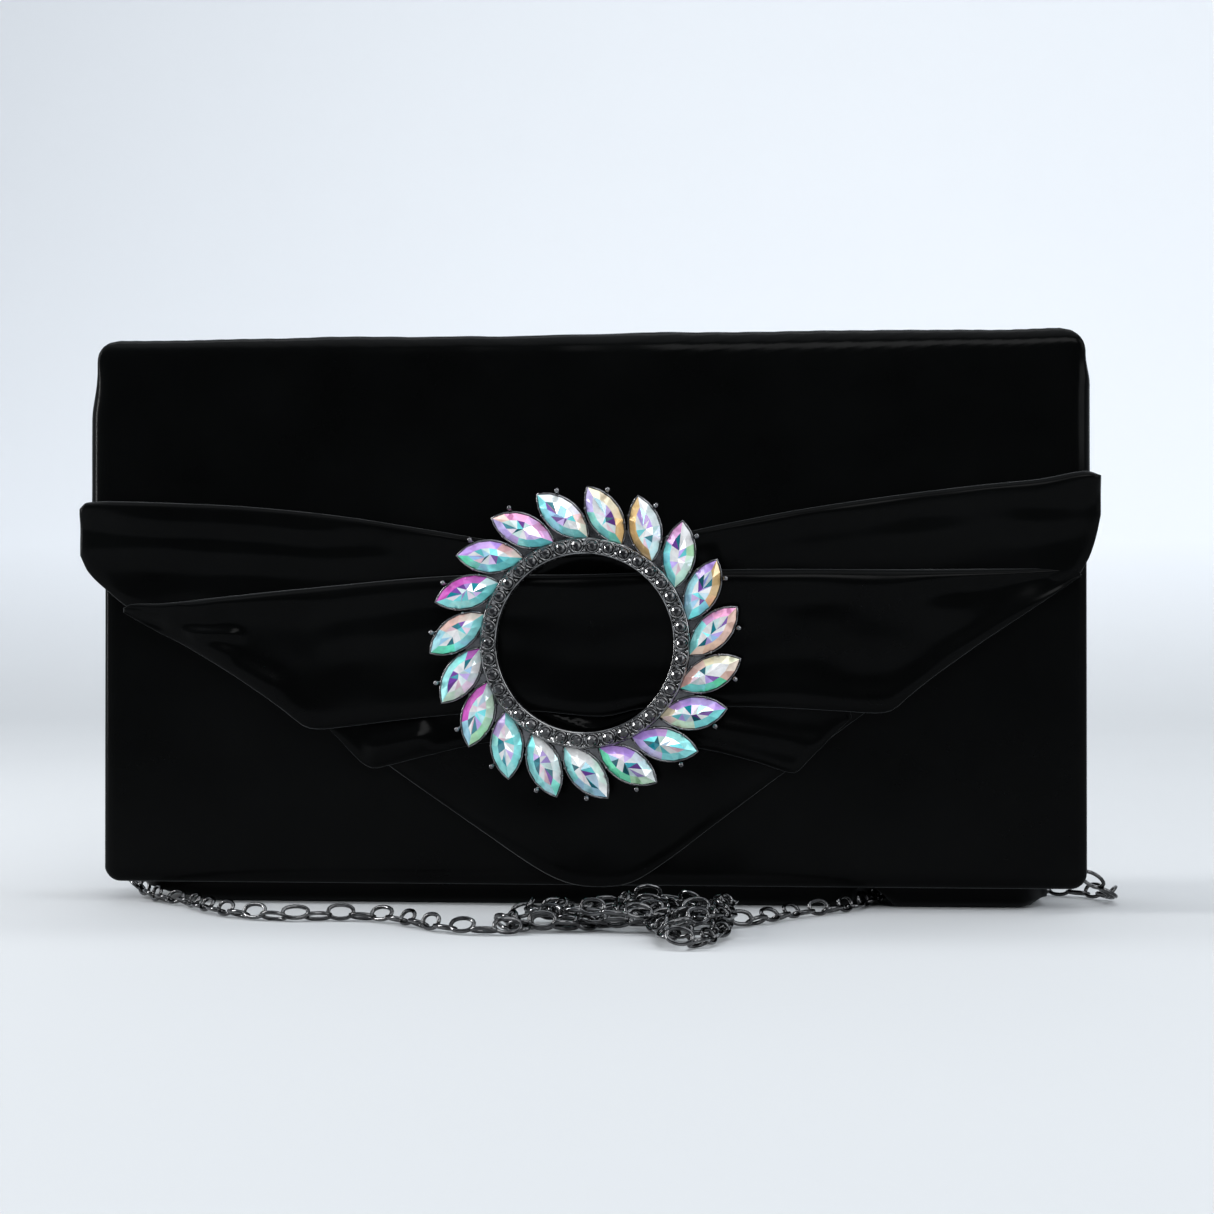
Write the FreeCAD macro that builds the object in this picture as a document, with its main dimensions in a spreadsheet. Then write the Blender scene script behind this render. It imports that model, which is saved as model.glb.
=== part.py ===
import FreeCAD, Part
import math
import os

# Envelope evening bag with a V-pointed flap, three draped sash pleats, a round
# brooch of navette stones and a loose chain. Millimetres, +X to the bag's
# right-hand side as seen from the front, -Y to the front, +Z up. The origin is
# the middle of the base on the floor.

SIZES = [
    ("panel_wide", 227.0, "front and back panel, side to side"),
    ("panel_low", 5.0, "lower edge of both panels above the floor"),
    ("panel_top", 129.0, "upper edge of both panels"),
    ("body_deep", 40.0, "outside of the front panel to outside of the back panel"),
    ("cover_thick", 1.2, "covering"),
    ("board_thick", 1.6, "stiffening board of the body"),
    ("lining_thick", 0.6, "lining"),
    ("joint_gap", 0.3, "running gap between pieces that move apart"),
    ("board_inset", 2.0, "wall board inside the edge of its covering"),
    ("lining_half", 101.0, "half the width of the wall and base linings"),
    ("lining_low", 8.4, "lower edge of the wall and gusset linings"),
    ("lining_drop", 0.5, "wall lining below the upper edge of the wall"),
    ("gusset_outer", 103.5, "outer face of a side gusset from the middle"),
    ("gusset_low", 8.0, "lower edge of a side gusset"),
    ("gusset_drop", 2.0, "upper edge of a gusset below the upper edge of the walls"),
    ("base_half_deep", 14.0, "half the depth of the flat of the base"),
    ("base_long", 200.0, "base, side to side"),
    ("base_high", 5.4, "height of the padded base under its board"),
    ("base_board_deep", 32.0, "board of the base, front to back"),
    ("base_lining_deep", 31.8, "lining of the base, front to back"),
    ("arch_left", 61.0, "left side of the arch where the chain runs under the base"),
    ("arch_wide", 25.0, "width of that arch"),
    ("arch_high", 4.6, "height of that arch"),
    ("pocket_wide", 130.0, "slip pocket, side to side"),
    ("pocket_low", 34.0, "lower edge of the slip pocket"),
    ("pocket_high", 72.0, "slip pocket, top to bottom"),
    ("pocket_thick", 1.4, "slip pocket with its room"),
    ("pocket_room", 0.8, "room inside the slip pocket"),
    ("pocket_seam", 3.0, "sewn border of the slip pocket"),
    ("flap_wide", 233.8, "flap, side to side"),
    ("flap_gap", 0.7, "closed flap to front panel"),
    ("flap_board_thick", 1.0, "stiffening board of the flap"),
    ("flap_board_inset", 3.0, "flap board and front lining inside the edge of the covering"),
    ("flap_top_lining_inset", 1.0, "top strip's lining inside the edge of its covering"),
    ("bag_top", 132.4, "top of the closed flap"),
    ("tip_low", 5.0, "lowest point of the flap tip"),
    ("pleat_thick", 2.5, "under pleats of the sash"),
    ("broad_thick", 3.0, "broad pleat on top"),
    ("magnet_wide", 18.0, "closing magnets, diameter"),
    ("magnet_high", 26.0, "centre of the magnets"),
    ("brooch_x", 1.3, "centre of the brooch from the middle"),
    ("brooch_high", 61.5, "centre of the brooch"),
    ("brooch_hole", 20.3, "radius of the opening in the brooch"),
    ("band_outer", 24.2, "outer radius of the band of small stones"),
    ("frame_outer", 27.6, "outer radius of the brooch's back plate"),
    ("frame_thick", 1.2, "back plate"),
    ("band_thick", 2.0, "band of small stones"),
    ("navette_count", 19.0, "large stones"),
    ("navette_long", 15.0, "large stone, point to point"),
    ("navette_wide", 7.0, "large stone, width"),
    ("navette_high", 3.6, "large stone, height"),
    ("navette_circle", 29.5, "radius on which the large stones are centred"),
    ("navette_lean", 40.0, "lean of a large stone from the radius, degrees"),
    ("navette_start", 81.0, "angle of the first large stone, degrees"),
    ("girdle_high", 1.0, "upright girdle of a large stone"),
    ("table_share", 0.42, "table of a large stone against its outline"),
    ("seat_margin", 0.2, "seat of a large stone beyond its outline"),
    ("claw_along", 5.1, "claw from the stone's middle, along the stone"),
    ("claw_across", 4.2, "claw from the stone's middle, across the stone"),
    ("claw_wire", 0.8, "claw wire, diameter"),
    ("claw_high", 2.6, "claw above the back plate"),
    ("claw_foot", 1.0, "width of the lug that joins a claw to the plate"),
    ("post_wire", 1.6, "pins behind the brooch, diameter"),
    ("post_circle", 22.5, "radius on which the pins stand"),
    ("small_count", 38.0, "small stones"),
    ("small_wide", 2.5, "small stone, diameter"),
    ("small_circle", 22.3, "radius on which the small stones are centred"),
    ("small_high", 0.8, "small stone, height"),
    ("small_table", 0.55, "table of a small stone against its width"),
    ("ring_x", 107.0, "hinge axis of a side ring from the middle"),
    ("ring_high", 112.0, "hinge axis of a side ring"),
    ("ring_drop", 11.0, "height of a side ring, wire centre to wire centre"),
    ("ring_wide", 14.0, "width of a side ring, wire centre to wire centre"),
    ("ring_wire", 1.6, "wire of a side ring, diameter"),
    ("ring_corner", 3.0, "centre line radius of a side ring's corners"),
    ("tab_wide", 9.0, "width of the tab that holds a side ring"),
    ("tab_high", 13.0, "tab above the hinge axis"),
    ("tab_wall", 1.05, "tab round the ring's bar"),
    ("eye_gap", 0.1, "ring's bar to the eye of the tab"),
    ("rivet_high", 7.5, "rivet above the hinge axis"),
    ("link_round", 2.6, "end link, centre line radius"),
    ("link_wire", 1.0, "end link and chain wire, diameter"),
    ("chain_wide", 4.2, "chain, across a link"),
    ("heap_low", 4.4, "one layer of chain"),
    ("heap_high", 8.6, "two layers of chain"),
]

# Route of the chain from the left side ring to the heap, hand placed.
CHAIN_LEFT = [
    (-107.0, 0.0, 96.4), (-106.8, 0.6, 66.0), (-107.6, -0.4, 42.0), (-108.2, 0.4, 28.5),
    (-114.8, 0.2, 19.5), (-117.0, -0.6, 10.5), (-110.8, -3.6, 3.6), (-105.2, -11.6, 2.1),
    (-100.2, -20.4, 2.1), (-91.6, -28.0, 2.1), (-85.0, -40.0, 2.1), (-75.5, -52.0, 2.1),
    (-63.0, -58.0, 2.1), (-50.5, -54.0, 2.1), (-39.0, -57.0, 2.1), (-30.0, -70.0, 2.1),
    (-18.5, -80.5, 2.1), (-5.0, -78.0, 2.1),
]

# Route from the heap, under the front edge, to the right side ring.
CHAIN_RIGHT = [
    (36.0, -63.0, 2.1), (44.5, -52.0, 2.1), (50.0, -39.5, 2.1), (59.5, -29.5, 2.1),
    (65.4, -16.5, 2.1), (69.0, -2.0, 2.1), (74.6, 12.0, 2.1), (87.0, 18.8, 2.1),
    (101.0, 18.6, 2.1), (113.6, 15.4, 2.1), (122.0, 7.2, 2.1), (123.6, -4.6, 3.0),
    (115.6, -8.4, 7.5), (108.6, -2.8, 14.5), (107.6, 0.4, 26.5), (106.6, -0.4, 45.0),
    (107.4, 0.4, 70.0), (107.0, 0.0, 96.4),
]

HEAP_OUTLINE = [
    (-17.0, -66.0), (-9.0, -44.0), (10.0, -37.0), (31.0, -38.0), (43.0, -52.0),
    (43.0, -72.0), (37.0, -97.0), (27.0, -109.0), (15.0, -104.0), (2.0, -92.0), (-13.0, -84.0),
]
HEAP_UPPER = [
    (-13.0, -67.0), (3.0, -56.5), (17.0, -55.0), (24.0, -43.0), (33.0, -43.0),
    (40.0, -54.0), (40.0, -71.0), (34.0, -96.0), (26.0, -106.0), (17.0, -101.0),
    (4.0, -89.0), (-9.0, -81.0),
]

# Outlines of the flap and its pleats in X and Z; the third number, where there
# is one, is the radius of that corner.
FLAP_OUTLINE = [
    (-116.9, 129.3), (116.9, 129.3), (116.9, 82.0, 4.0), (45.5, 31.0, 12.0),
    (4.0, 3.0, 16.0), (-44.5, 32.5, 12.0), (-114.6, 79.0, 4.0), (-116.9, 84.0, 3.0),
]
UPPER_OUTLINE = [
    (-117.4, 94.0, 1.5), (-80.0, 93.4), (-36.0, 87.8, 20.0), (1.0, 84.0), (32.0, 88.7, 20.0),
    (73.0, 95.4), (118.5, 100.5, 1.5), (118.5, 90.7, 6.0), (114.0, 76.0, 1.0),
    (36.0, 72.0), (1.0, 70.0), (-66.0, 66.0), (-103.0, 67.0), (-112.0, 74.0, 3.0), (-117.4, 80.0, 3.0),
]
BROAD_OUTLINE = [
    (-108.0, 70.4, 1.0), (-66.0, 74.0), (-31.0, 77.0), (1.0, 77.2), (36.0, 78.4),
    (114.0, 78.2, 1.0), (103.0, 68.6, 12.0), (87.0, 60.0, 12.0), (71.5, 45.6, 2.0), (41.0, 46.8),
    (1.0, 44.6), (-24.0, 45.4), (-59.0, 41.5, 2.0), (-65.0, 41.2, 2.0), (-84.0, 56.0, 12.0),
    (-101.0, 64.5, 8.0),
]
NARROW_OUTLINE = [
    (-60.0, 58.0), (61.0, 58.0), (62.0, 43.8, 2.0), (49.4, 31.6, 1.5), (27.0, 37.2, 8.0),
    (1.0, 40.0), (-21.6, 38.5), (-48.4, 32.2, 1.5), (-58.0, 41.0, 2.0),
]

doc = FreeCAD.newDocument("EveningBag")
sheet = doc.addObject("Spreadsheet::Sheet", "Sizes")
for row, (alias, value, meaning) in enumerate(SIZES, start=1):
    sheet.set(f"A{row}", meaning)
    sheet.set(f"B{row}", str(value))
    sheet.setAlias(f"B{row}", alias)
doc.recompute()

pieces = {}


def size(alias):
    """A driving dimension, read from the sheet."""
    return float(sheet.get(alias))


def keep(label, thing):
    thing.Label = label
    pieces[label] = thing
    return thing


def box(label, length, width, height, x, y, z):
    """A plain slab whose sizes and place are expressions on the sheet."""
    slab = doc.addObject("Part::Box", label)
    slab.setExpression("Length", length)
    slab.setExpression("Width", width)
    slab.setExpression("Height", height)
    slab.setExpression("Placement.Base.x", x)
    slab.setExpression("Placement.Base.y", y)
    slab.setExpression("Placement.Base.z", z)
    return slab


def sketch_on(body, role, label):
    """A sketch on one of a body's own planes."""
    sketch = body.newObject("Sketcher::SketchObject", label)
    plane = next(item for item in body.Origin.OriginFeatures if item.Role == role)
    sketch.AttachmentSupport = [(plane, "")]
    sketch.MapMode = "FlatFace"
    return sketch


def rounded_path(points):
    """A closed outline of straight edges, with an arc at each corner that carries a radius."""
    count = len(points)
    corners = []
    for index in range(count):
        here = FreeCAD.Vector(points[index][0], points[index][1], 0)
        before = FreeCAD.Vector(points[index - 1][0], points[index - 1][1], 0)
        after = FreeCAD.Vector(points[(index + 1) % count][0], points[(index + 1) % count][1], 0)
        radius = points[index][2] if len(points[index]) > 2 else 0.0
        to_before = (before - here).normalize()
        to_after = (after - here).normalize()
        half = to_before.getAngle(to_after) / 2
        if radius == 0.0:
            corners.append((here, None, here))
            continue
        reach = radius / math.tan(half)
        middle = here + (to_before + to_after).normalize() * (radius / math.sin(half) - radius)
        corners.append((here + to_before * reach, middle, here + to_after * reach))
    edges = []
    start = corners[-1][2]
    for entry, middle, leave in corners:
        edges.append(Part.LineSegment(start, entry))
        if middle is not None:
            edges.append(Part.Arc(entry, middle, leave))
        start = leave
    return edges


def panel(label, outline, rear_y, thickness):
    """An outline in X and Z, padded forwards from its rear face by a thickness."""
    body = doc.addObject("PartDesign::Body", label + "_body")
    sketch = sketch_on(body, "XZ_Plane", label + "_outline")
    sketch.addGeometry(rounded_path(outline), False)
    pad = body.newObject("PartDesign::Pad", label + "_pad")
    pad.Profile = sketch
    pad.setExpression("Length", thickness)
    body.setExpression("Placement.Base.y", rear_y)
    return body


def cut(label, base, tool):
    result = doc.addObject("Part::Cut", label)
    result.Base = base
    result.Tool = tool
    return result


def cylinder(label, radius, height, x, y, z):
    """A round bar along Y that starts at y and runs to the front."""
    bar = doc.addObject("Part::Cylinder", label)
    bar.setExpression("Radius", radius)
    bar.setExpression("Height", height)
    bar.Placement.Rotation = FreeCAD.Rotation(FreeCAD.Vector(1, 0, 0), 90)
    bar.setExpression("Placement.Base.x", x)
    bar.setExpression("Placement.Base.y", y)
    bar.setExpression("Placement.Base.z", z)
    return bar


def feature(label, shape, place=FreeCAD.Placement()):
    """A shape worked out in code, where no sketch or primitive fits."""
    thing = doc.addObject("Part::Feature", label)
    thing.Shape = shape
    thing.Placement = place
    return thing


# ---------------------------------------------------------------- body walls
def wall(side, sign):
    """Cover, board and lining of the front (sign -1) or back (sign 1) wall."""
    half = size("panel_wide") / 2
    low = size("panel_low")
    top = size("panel_top")
    outline = [(-half, low, 3.5), (half, low, 3.5), (half, top), (-half, top)]
    inset = size("board_inset")
    board = [(-half + inset, low + inset), (half - inset, low + inset),
             (half - inset, top - inset), (-half + inset, top - inset)]
    lining_half = size("lining_half")
    lining_low = size("lining_low")
    lining_top = top - size("lining_drop")
    lining = [(-lining_half, lining_low), (lining_half, lining_low),
              (lining_half, lining_top), (-lining_half, lining_top)]
    outer = "Sizes.body_deep / 2"
    middle = "Sizes.body_deep / 2 - Sizes.cover_thick"
    inner = "Sizes.body_deep / 2 - Sizes.cover_thick - Sizes.board_thick"
    if sign > 0:
        layers = [("cover", outline, outer, "cover_thick"), ("board", board, middle, "board_thick"),
                  ("lining", lining, inner, "lining_thick")]
    else:
        layers = [("cover", outline, f"-({middle})", "cover_thick"),
                  ("board", board, f"-({inner})", "board_thick"),
                  ("lining", lining, f"-({inner} - Sizes.lining_thick)", "lining_thick")]
    return {layer: panel(f"{side}_{layer}", points, place, f"Sizes.{thick}")
            for layer, points, place, thick in layers}


front = wall("front", -1)
back = wall("back", 1)
keep("front_cover", front["cover"])
keep("front_lining", front["lining"])
keep("back_cover", back["cover"])
keep("back_board", back["board"])
keep("back_lining", back["lining"])

# The magnets are discs let into round holes in the two boards.
inner_face = "-(Sizes.body_deep / 2 - Sizes.cover_thick - Sizes.board_thick)"
seat = cylinder("front_board_hole", "Sizes.magnet_wide / 2", "Sizes.board_thick", "0",
                inner_face, "Sizes.magnet_high")
keep("front_board", cut("front_board_cut", front["board"], seat))
keep("magnet_front", cylinder("magnet_front_disc", "Sizes.magnet_wide / 2 - 0.1", "Sizes.board_thick",
                              "0", inner_face, "Sizes.magnet_high"))


# ---------------------------------------------------------------- base
half_base = size("base_half_deep")
inner_y = size("body_deep") / 2 - size("cover_thick") - size("board_thick") - size("lining_thick")
front_stop = inner_y - size("joint_gap")

# The padded base is a trapezium in Y and Z, padded along X from the middle.
base_body = doc.addObject("PartDesign::Body", "base_cover_body")
base_sketch = sketch_on(base_body, "YZ_Plane", "base_cover_section")
base_sketch.addGeometry(rounded_path([
    (-half_base, 0.0, 2.0), (half_base, 0.0, 2.0),
    (inner_y, size("base_high")), (-front_stop, size("base_high")),
]), False)
base_pad = base_body.newObject("PartDesign::Pad", "base_cover_pad")
base_pad.Profile = base_sketch
base_pad.Midplane = True
base_pad.setExpression("Length", "Sizes.base_long")
arch = box("base_arch", "Sizes.arch_wide", "Sizes.body_deep", "Sizes.arch_high + 1",
           "Sizes.arch_left", "-Sizes.body_deep / 2", "-1")
keep("base_cover", cut("base_cover_cut", base_body, arch))
keep("base_board", box("base_board_slab", "2 * Sizes.lining_half", "Sizes.base_board_deep",
                       "Sizes.board_thick", "-Sizes.lining_half", "-Sizes.base_board_deep / 2",
                       "Sizes.base_high"))
keep("base_lining", box("base_lining_slab", "2 * Sizes.lining_half", "Sizes.base_lining_deep",
                        "Sizes.lining_thick", "-Sizes.lining_half", "-Sizes.base_lining_deep / 2",
                        "Sizes.base_high + Sizes.board_thick"))


# ---------------------------------------------------------------- side gussets
def gusset(side, sign):
    """The velvet skin of one side and its lining, between the linings of the two walls."""
    walls = "2 * (Sizes.cover_thick + Sizes.board_thick + Sizes.lining_thick)"
    deep = f"Sizes.body_deep - {walls} - Sizes.joint_gap"
    if sign > 0:
        skin_x = "Sizes.gusset_outer - Sizes.cover_thick"
        lining_x = "Sizes.gusset_outer - Sizes.cover_thick - Sizes.lining_thick"
    else:
        skin_x = "-Sizes.gusset_outer"
        lining_x = "-Sizes.gusset_outer + Sizes.cover_thick"
    top = "Sizes.panel_top - Sizes.gusset_drop"
    keep(f"gusset_{side}", box(f"gusset_{side}_skin", "Sizes.cover_thick", deep,
                               f"{top} - Sizes.gusset_low", skin_x, f"-{front_stop}",
                               "Sizes.gusset_low"))
    keep(f"gusset_lining_{side}", box(f"gusset_lining_{side}_skin", "Sizes.lining_thick", deep,
                                      f"{top} - Sizes.lining_drop - Sizes.lining_low", lining_x,
                                      f"-{front_stop}", "Sizes.lining_low"))


gusset("left", -1)
gusset("right", 1)


# ---------------------------------------------------------------- slip pocket
lining_face = "Sizes.body_deep / 2 - Sizes.cover_thick - Sizes.board_thick - Sizes.lining_thick"
pocket_slab = box("slip_pocket_slab", "Sizes.pocket_wide", "Sizes.pocket_thick", "Sizes.pocket_high",
                  "-Sizes.pocket_wide / 2", f"{lining_face} - Sizes.pocket_thick", "Sizes.pocket_low")
pocket_room = box("slip_pocket_room", "Sizes.pocket_wide - 2 * Sizes.pocket_seam", "Sizes.pocket_room",
                  "Sizes.pocket_high", "-Sizes.pocket_wide / 2 + Sizes.pocket_seam",
                  f"{lining_face} - Sizes.pocket_room", "Sizes.pocket_low + Sizes.pocket_seam")
keep("slip_pocket", cut("slip_pocket_cut", pocket_slab, pocket_room))


# ---------------------------------------------------------------- flap top
def flap_top_layer(label, bottom, thickness, inset):
    """A strip over the mouth, from the back hinge line to the front crease."""
    keep(label, box(label + "_strip", f"Sizes.flap_wide - 2 * {inset}", "Sizes.body_deep",
                    thickness, f"-Sizes.flap_wide / 2 + {inset}", "-Sizes.body_deep / 2", bottom))


cover_bottom = "Sizes.bag_top - Sizes.cover_thick"
board_bottom = f"{cover_bottom} - Sizes.flap_board_thick"
lining_bottom = f"{board_bottom} - Sizes.lining_thick"
flap_top_layer("flap_top_cover", cover_bottom, "Sizes.cover_thick", "0")
flap_top_layer("flap_top_board", board_bottom, "Sizes.flap_board_thick", "Sizes.flap_board_inset")
flap_top_layer("flap_top_lining", lining_bottom, "Sizes.lining_thick", "Sizes.flap_top_lining_inset")


# ---------------------------------------------------------------- flap front
def inset_outline(outline, amount, floor):
    """The outline drawn in by an amount from the sides and up from the tip."""
    result = []
    for point in outline:
        side = math.copysign(abs(point[0]) - amount, point[0])
        high = point[1] if point[1] > floor else point[1] + amount
        result.append((side, high) + tuple(point[2:]))
    return result


flap_back = "-Sizes.body_deep / 2 - Sizes.flap_gap"
flap_middle = f"{flap_back} - Sizes.lining_thick"
flap_outer = f"{flap_middle} - Sizes.flap_board_thick"
flap_face = f"{flap_outer} - Sizes.cover_thick"
sash_face = f"{flap_face} - Sizes.pleat_thick"
brooch_back = f"{sash_face} - Sizes.broad_thick"
inner_outline = inset_outline(FLAP_OUTLINE, size("flap_board_inset"), 100.0)
keep("flap_lining", panel("flap_lining", inner_outline, flap_back, "Sizes.lining_thick"))
board_blank = panel("flap_board", inner_outline, flap_middle, "Sizes.flap_board_thick")
flap_seat = cylinder("flap_board_hole", "Sizes.magnet_wide / 2", "Sizes.flap_board_thick", "0",
                     flap_middle, "Sizes.magnet_high")
keep("flap_board", cut("flap_board_cut", board_blank, flap_seat))
keep("magnet_flap", cylinder("magnet_flap_disc", "Sizes.magnet_wide / 2 - 0.1",
                             "Sizes.flap_board_thick", "0", flap_middle, "Sizes.magnet_high"))
keep("flap_cover", panel("flap_cover", FLAP_OUTLINE, flap_outer, "Sizes.cover_thick"))
keep("sash_upper", panel("sash_upper", UPPER_OUTLINE, flap_face, "Sizes.pleat_thick"))
keep("sash_narrow", panel("sash_narrow", NARROW_OUTLINE, flap_face, "Sizes.pleat_thick"))
keep("sash_broad", panel("sash_broad", BROAD_OUTLINE, sash_face, "Sizes.broad_thick"))


# ---------------------------------------------------------------- brooch
def on_circle(radius, degrees, y):
    angle = math.radians(degrees)
    return FreeCAD.Vector(size("brooch_x") + radius * math.cos(angle), y,
                          size("brooch_high") + radius * math.sin(angle))


def disc(radius, y, thickness):
    centre = FreeCAD.Vector(size("brooch_x"), y, size("brooch_high"))
    return Part.makeCylinder(radius, thickness, centre, FreeCAD.Vector(0, -1, 0))


def navette_wire(long, wide, y):
    """Pointed oval of two arcs, lying along X, at the given depth."""
    tip = FreeCAD.Vector(long / 2, y, 0)
    tail = FreeCAD.Vector(-long / 2, y, 0)
    upper = Part.Arc(tail, FreeCAD.Vector(0, y, wide / 2), tip)
    lower = Part.Arc(tip, FreeCAD.Vector(0, y, -wide / 2), tail)
    return Part.Wire([upper.toShape(), lower.toShape()])


def around(shape, index):
    """A copy of a shape made at the origin, moved to one place of the wreath."""
    turn = size("navette_start") + 360.0 * index / size("navette_count")
    copy = shape.copy()
    axis = FreeCAD.Vector(0, -1, 0)
    copy.rotate(FreeCAD.Vector(), axis, turn + size("navette_lean"))
    copy.translate(on_circle(size("navette_circle"), turn, 0.0))
    return copy


plate_y = -(size("body_deep") / 2 + size("flap_gap") + size("lining_thick") + size("flap_board_thick")
            + size("cover_thick") + size("pleat_thick") + size("broad_thick"))
band_y = plate_y - size("frame_thick")
stone_y = band_y - size("band_thick")
wreath = range(int(size("navette_count")))

seat_wire = navette_wire(size("navette_long") + 2 * size("seat_margin"),
                         size("navette_wide") + 2 * size("seat_margin"), plate_y)
seat_plate = Part.Face(seat_wire).extrude(FreeCAD.Vector(0, -size("frame_thick"), 0))
plate = disc(size("frame_outer"), plate_y, size("frame_thick"))
plate = plate.fuse([around(seat_plate, index) for index in wreath])
plate = plate.cut(disc(size("brooch_hole"), plate_y + 1, size("frame_thick") + 2))
keep("brooch_frame", feature("brooch_frame_plate", plate.removeSplitter()))

band = disc(size("band_outer"), band_y, size("band_thick"))
band = band.cut(disc(size("brooch_hole"), band_y + 1, size("band_thick") + 2))
keep("brooch_band", feature("brooch_band_ring", band))


def navette_stone():
    """A low girdle under a crown that narrows to a small table."""
    long = size("navette_long")
    wide = size("navette_wide")
    share = size("table_share")
    girdle = Part.Face(navette_wire(long, wide, band_y)).extrude(
        FreeCAD.Vector(0, -size("girdle_high"), 0))
    crown = Part.makeLoft([navette_wire(long, wide, band_y - size("girdle_high")),
                           navette_wire(long * share, wide * share, band_y - size("navette_high"))],
                          True, True)
    return girdle.fuse(crown)


stone = navette_stone()
outside_band = disc(size("band_outer") + 0.15, band_y + 1, size("navette_high") + 2)
stones = [around(stone, index).cut(outside_band) for index in wreath]
keep("navette_stones", feature("navette_stones_group", Part.makeCompound(stones)))


def small_stones():
    """Round stones on the band, each a low cone with a flat table."""
    group = []
    for index in range(int(size("small_count"))):
        place = on_circle(size("small_circle"), 360.0 * index / size("small_count"), stone_y)
        half = size("small_wide") / 2
        group.append(Part.makeCone(half, half * size("small_table"), size("small_high"), place,
                                   FreeCAD.Vector(0, -1, 0)))
    return Part.makeCompound(group)


keep("band_stones", feature("band_stones_group", small_stones()))


def claws():
    """A wire claw outside each large stone's middle, on a lug of the back plate."""
    forwards = FreeCAD.Vector(0, -1, 0)
    across = size("claw_across")
    wide = size("claw_foot")
    pin = Part.makeCylinder(size("claw_wire") / 2, size("claw_high"),
                            FreeCAD.Vector(size("claw_along"), band_y, -across), forwards)
    lug = Part.makeBox(wide, size("frame_thick"), across / 2 + wide / 2,
                       FreeCAD.Vector(size("claw_along") - wide / 2, band_y, -across - wide / 2))
    seats = [around(seat_plate, index) for index in wreath]
    middle_disc = disc(size("frame_outer"), plate_y, size("frame_thick"))
    return Part.makeCompound([around(pin, index).fuse(around(lug, index).cut(seats).cut(middle_disc))
                              for index in wreath])


keep("claws", feature("claws_group", claws()))


def posts():
    """Three pins that go back from the plate through the pleats and the flap board."""
    reach = size("broad_thick") + size("pleat_thick") + size("cover_thick") + size("flap_board_thick")
    pins = []
    for degrees in (200.0, 270.0, 340.0):
        start = on_circle(size("post_circle"), degrees, plate_y)
        pins.append(Part.makeCylinder(size("post_wire") / 2, reach, start, FreeCAD.Vector(0, 1, 0)))
    return Part.makeCompound(pins)


keep("brooch_posts", feature("brooch_posts_group", posts()))


# ---------------------------------------------------------------- side rings
def closed_wire_loop(points, corner, wire_radius):
    """Round wire bent round a closed outline of straight runs and arcs in X and Y."""
    outline = [(x, y, corner) for x, y in points]
    ring = None
    for edge in [curve.toShape() for curve in rounded_path(outline)]:
        if isinstance(edge.Curve, Part.Line):
            direction = edge.Vertexes[1].Point - edge.Vertexes[0].Point
            run = Part.makeCylinder(wire_radius, edge.Length, edge.Vertexes[0].Point, direction)
        else:
            tangent = edge.tangentAt(edge.FirstParameter)
            circle = Part.Circle(edge.valueAt(edge.FirstParameter), tangent, wire_radius)
            run = Part.Wire([edge]).makePipeShell([Part.Wire([circle.toShape()])], True, False)
        ring = run if ring is None else ring.fuse(run)
    return ring


def side_ring(side, sign):
    """A D-ring hanging from its tab, and the first link of the chain hanging in it."""
    half = size("ring_wide") / 2
    drop = size("ring_drop")
    loop = closed_wire_loop([(-half, 0.0), (half, 0.0), (half, -drop), (-half, -drop)],
                            size("ring_corner"), size("ring_wire") / 2)
    hang = FreeCAD.Placement(FreeCAD.Vector(sign * size("ring_x"), 0, size("ring_high")),
                             FreeCAD.Rotation(FreeCAD.Vector(1, 1, 1), 120))
    keep(f"d_ring_{side}", feature(f"d_ring_{side}_wire", loop, hang))
    link_z = (size("ring_high") - drop + size("ring_wire") / 2 + 2 * size("eye_gap")
              - size("link_round") + size("link_wire") / 2)
    link = doc.addObject("Part::Torus", f"end_link_{side}_wire")
    link.setExpression("Radius1", "Sizes.link_round")
    link.setExpression("Radius2", "Sizes.link_wire / 2")
    link.Placement = FreeCAD.Placement(FreeCAD.Vector(sign * size("ring_x"), 0, link_z),
                                       FreeCAD.Rotation(FreeCAD.Vector(1, 0, 0), 90))
    keep(f"end_link_{side}", link)


side_ring("left", -1)
side_ring("right", 1)


def ring_tab(side, sign):
    """A folded tab on the gusset with a round eye for the ring's straight bar."""
    hole_radius = size("ring_wire") / 2 + size("eye_gap")
    wide = size("tab_wide")
    along = FreeCAD.Vector(0, 1, 0)
    start = FreeCAD.Vector(sign * size("ring_x"), -wide / 2, size("ring_high"))
    eye = Part.makeCylinder(hole_radius + size("tab_wall"), wide, start, along)
    low_x = min(sign * size("gusset_outer"), sign * size("ring_x"))
    strap = Part.makeBox(size("ring_x") - size("gusset_outer"), wide, size("tab_high"),
                         FreeCAD.Vector(low_x, -wide / 2, size("ring_high")))
    hole = Part.makeCylinder(hole_radius, wide + 2, start - along, along)
    tab = eye.fuse(strap).cut(hole).removeSplitter()
    keep(f"ring_tab_{side}", feature(f"ring_tab_{side}_fold", tab))


ring_tab("left", -1)
ring_tab("right", 1)
rivets = []
for sign in (-1, 1):
    rivet_foot = FreeCAD.Vector(sign * size("ring_x"), 0, size("ring_high") + size("rivet_high"))
    rivets.append(Part.makeCone(2.4, 1.6, 0.9, rivet_foot, FreeCAD.Vector(sign, 0, 0)))
keep("tab_rivets", feature("tab_rivets_group", Part.makeCompound(rivets)))


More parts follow.
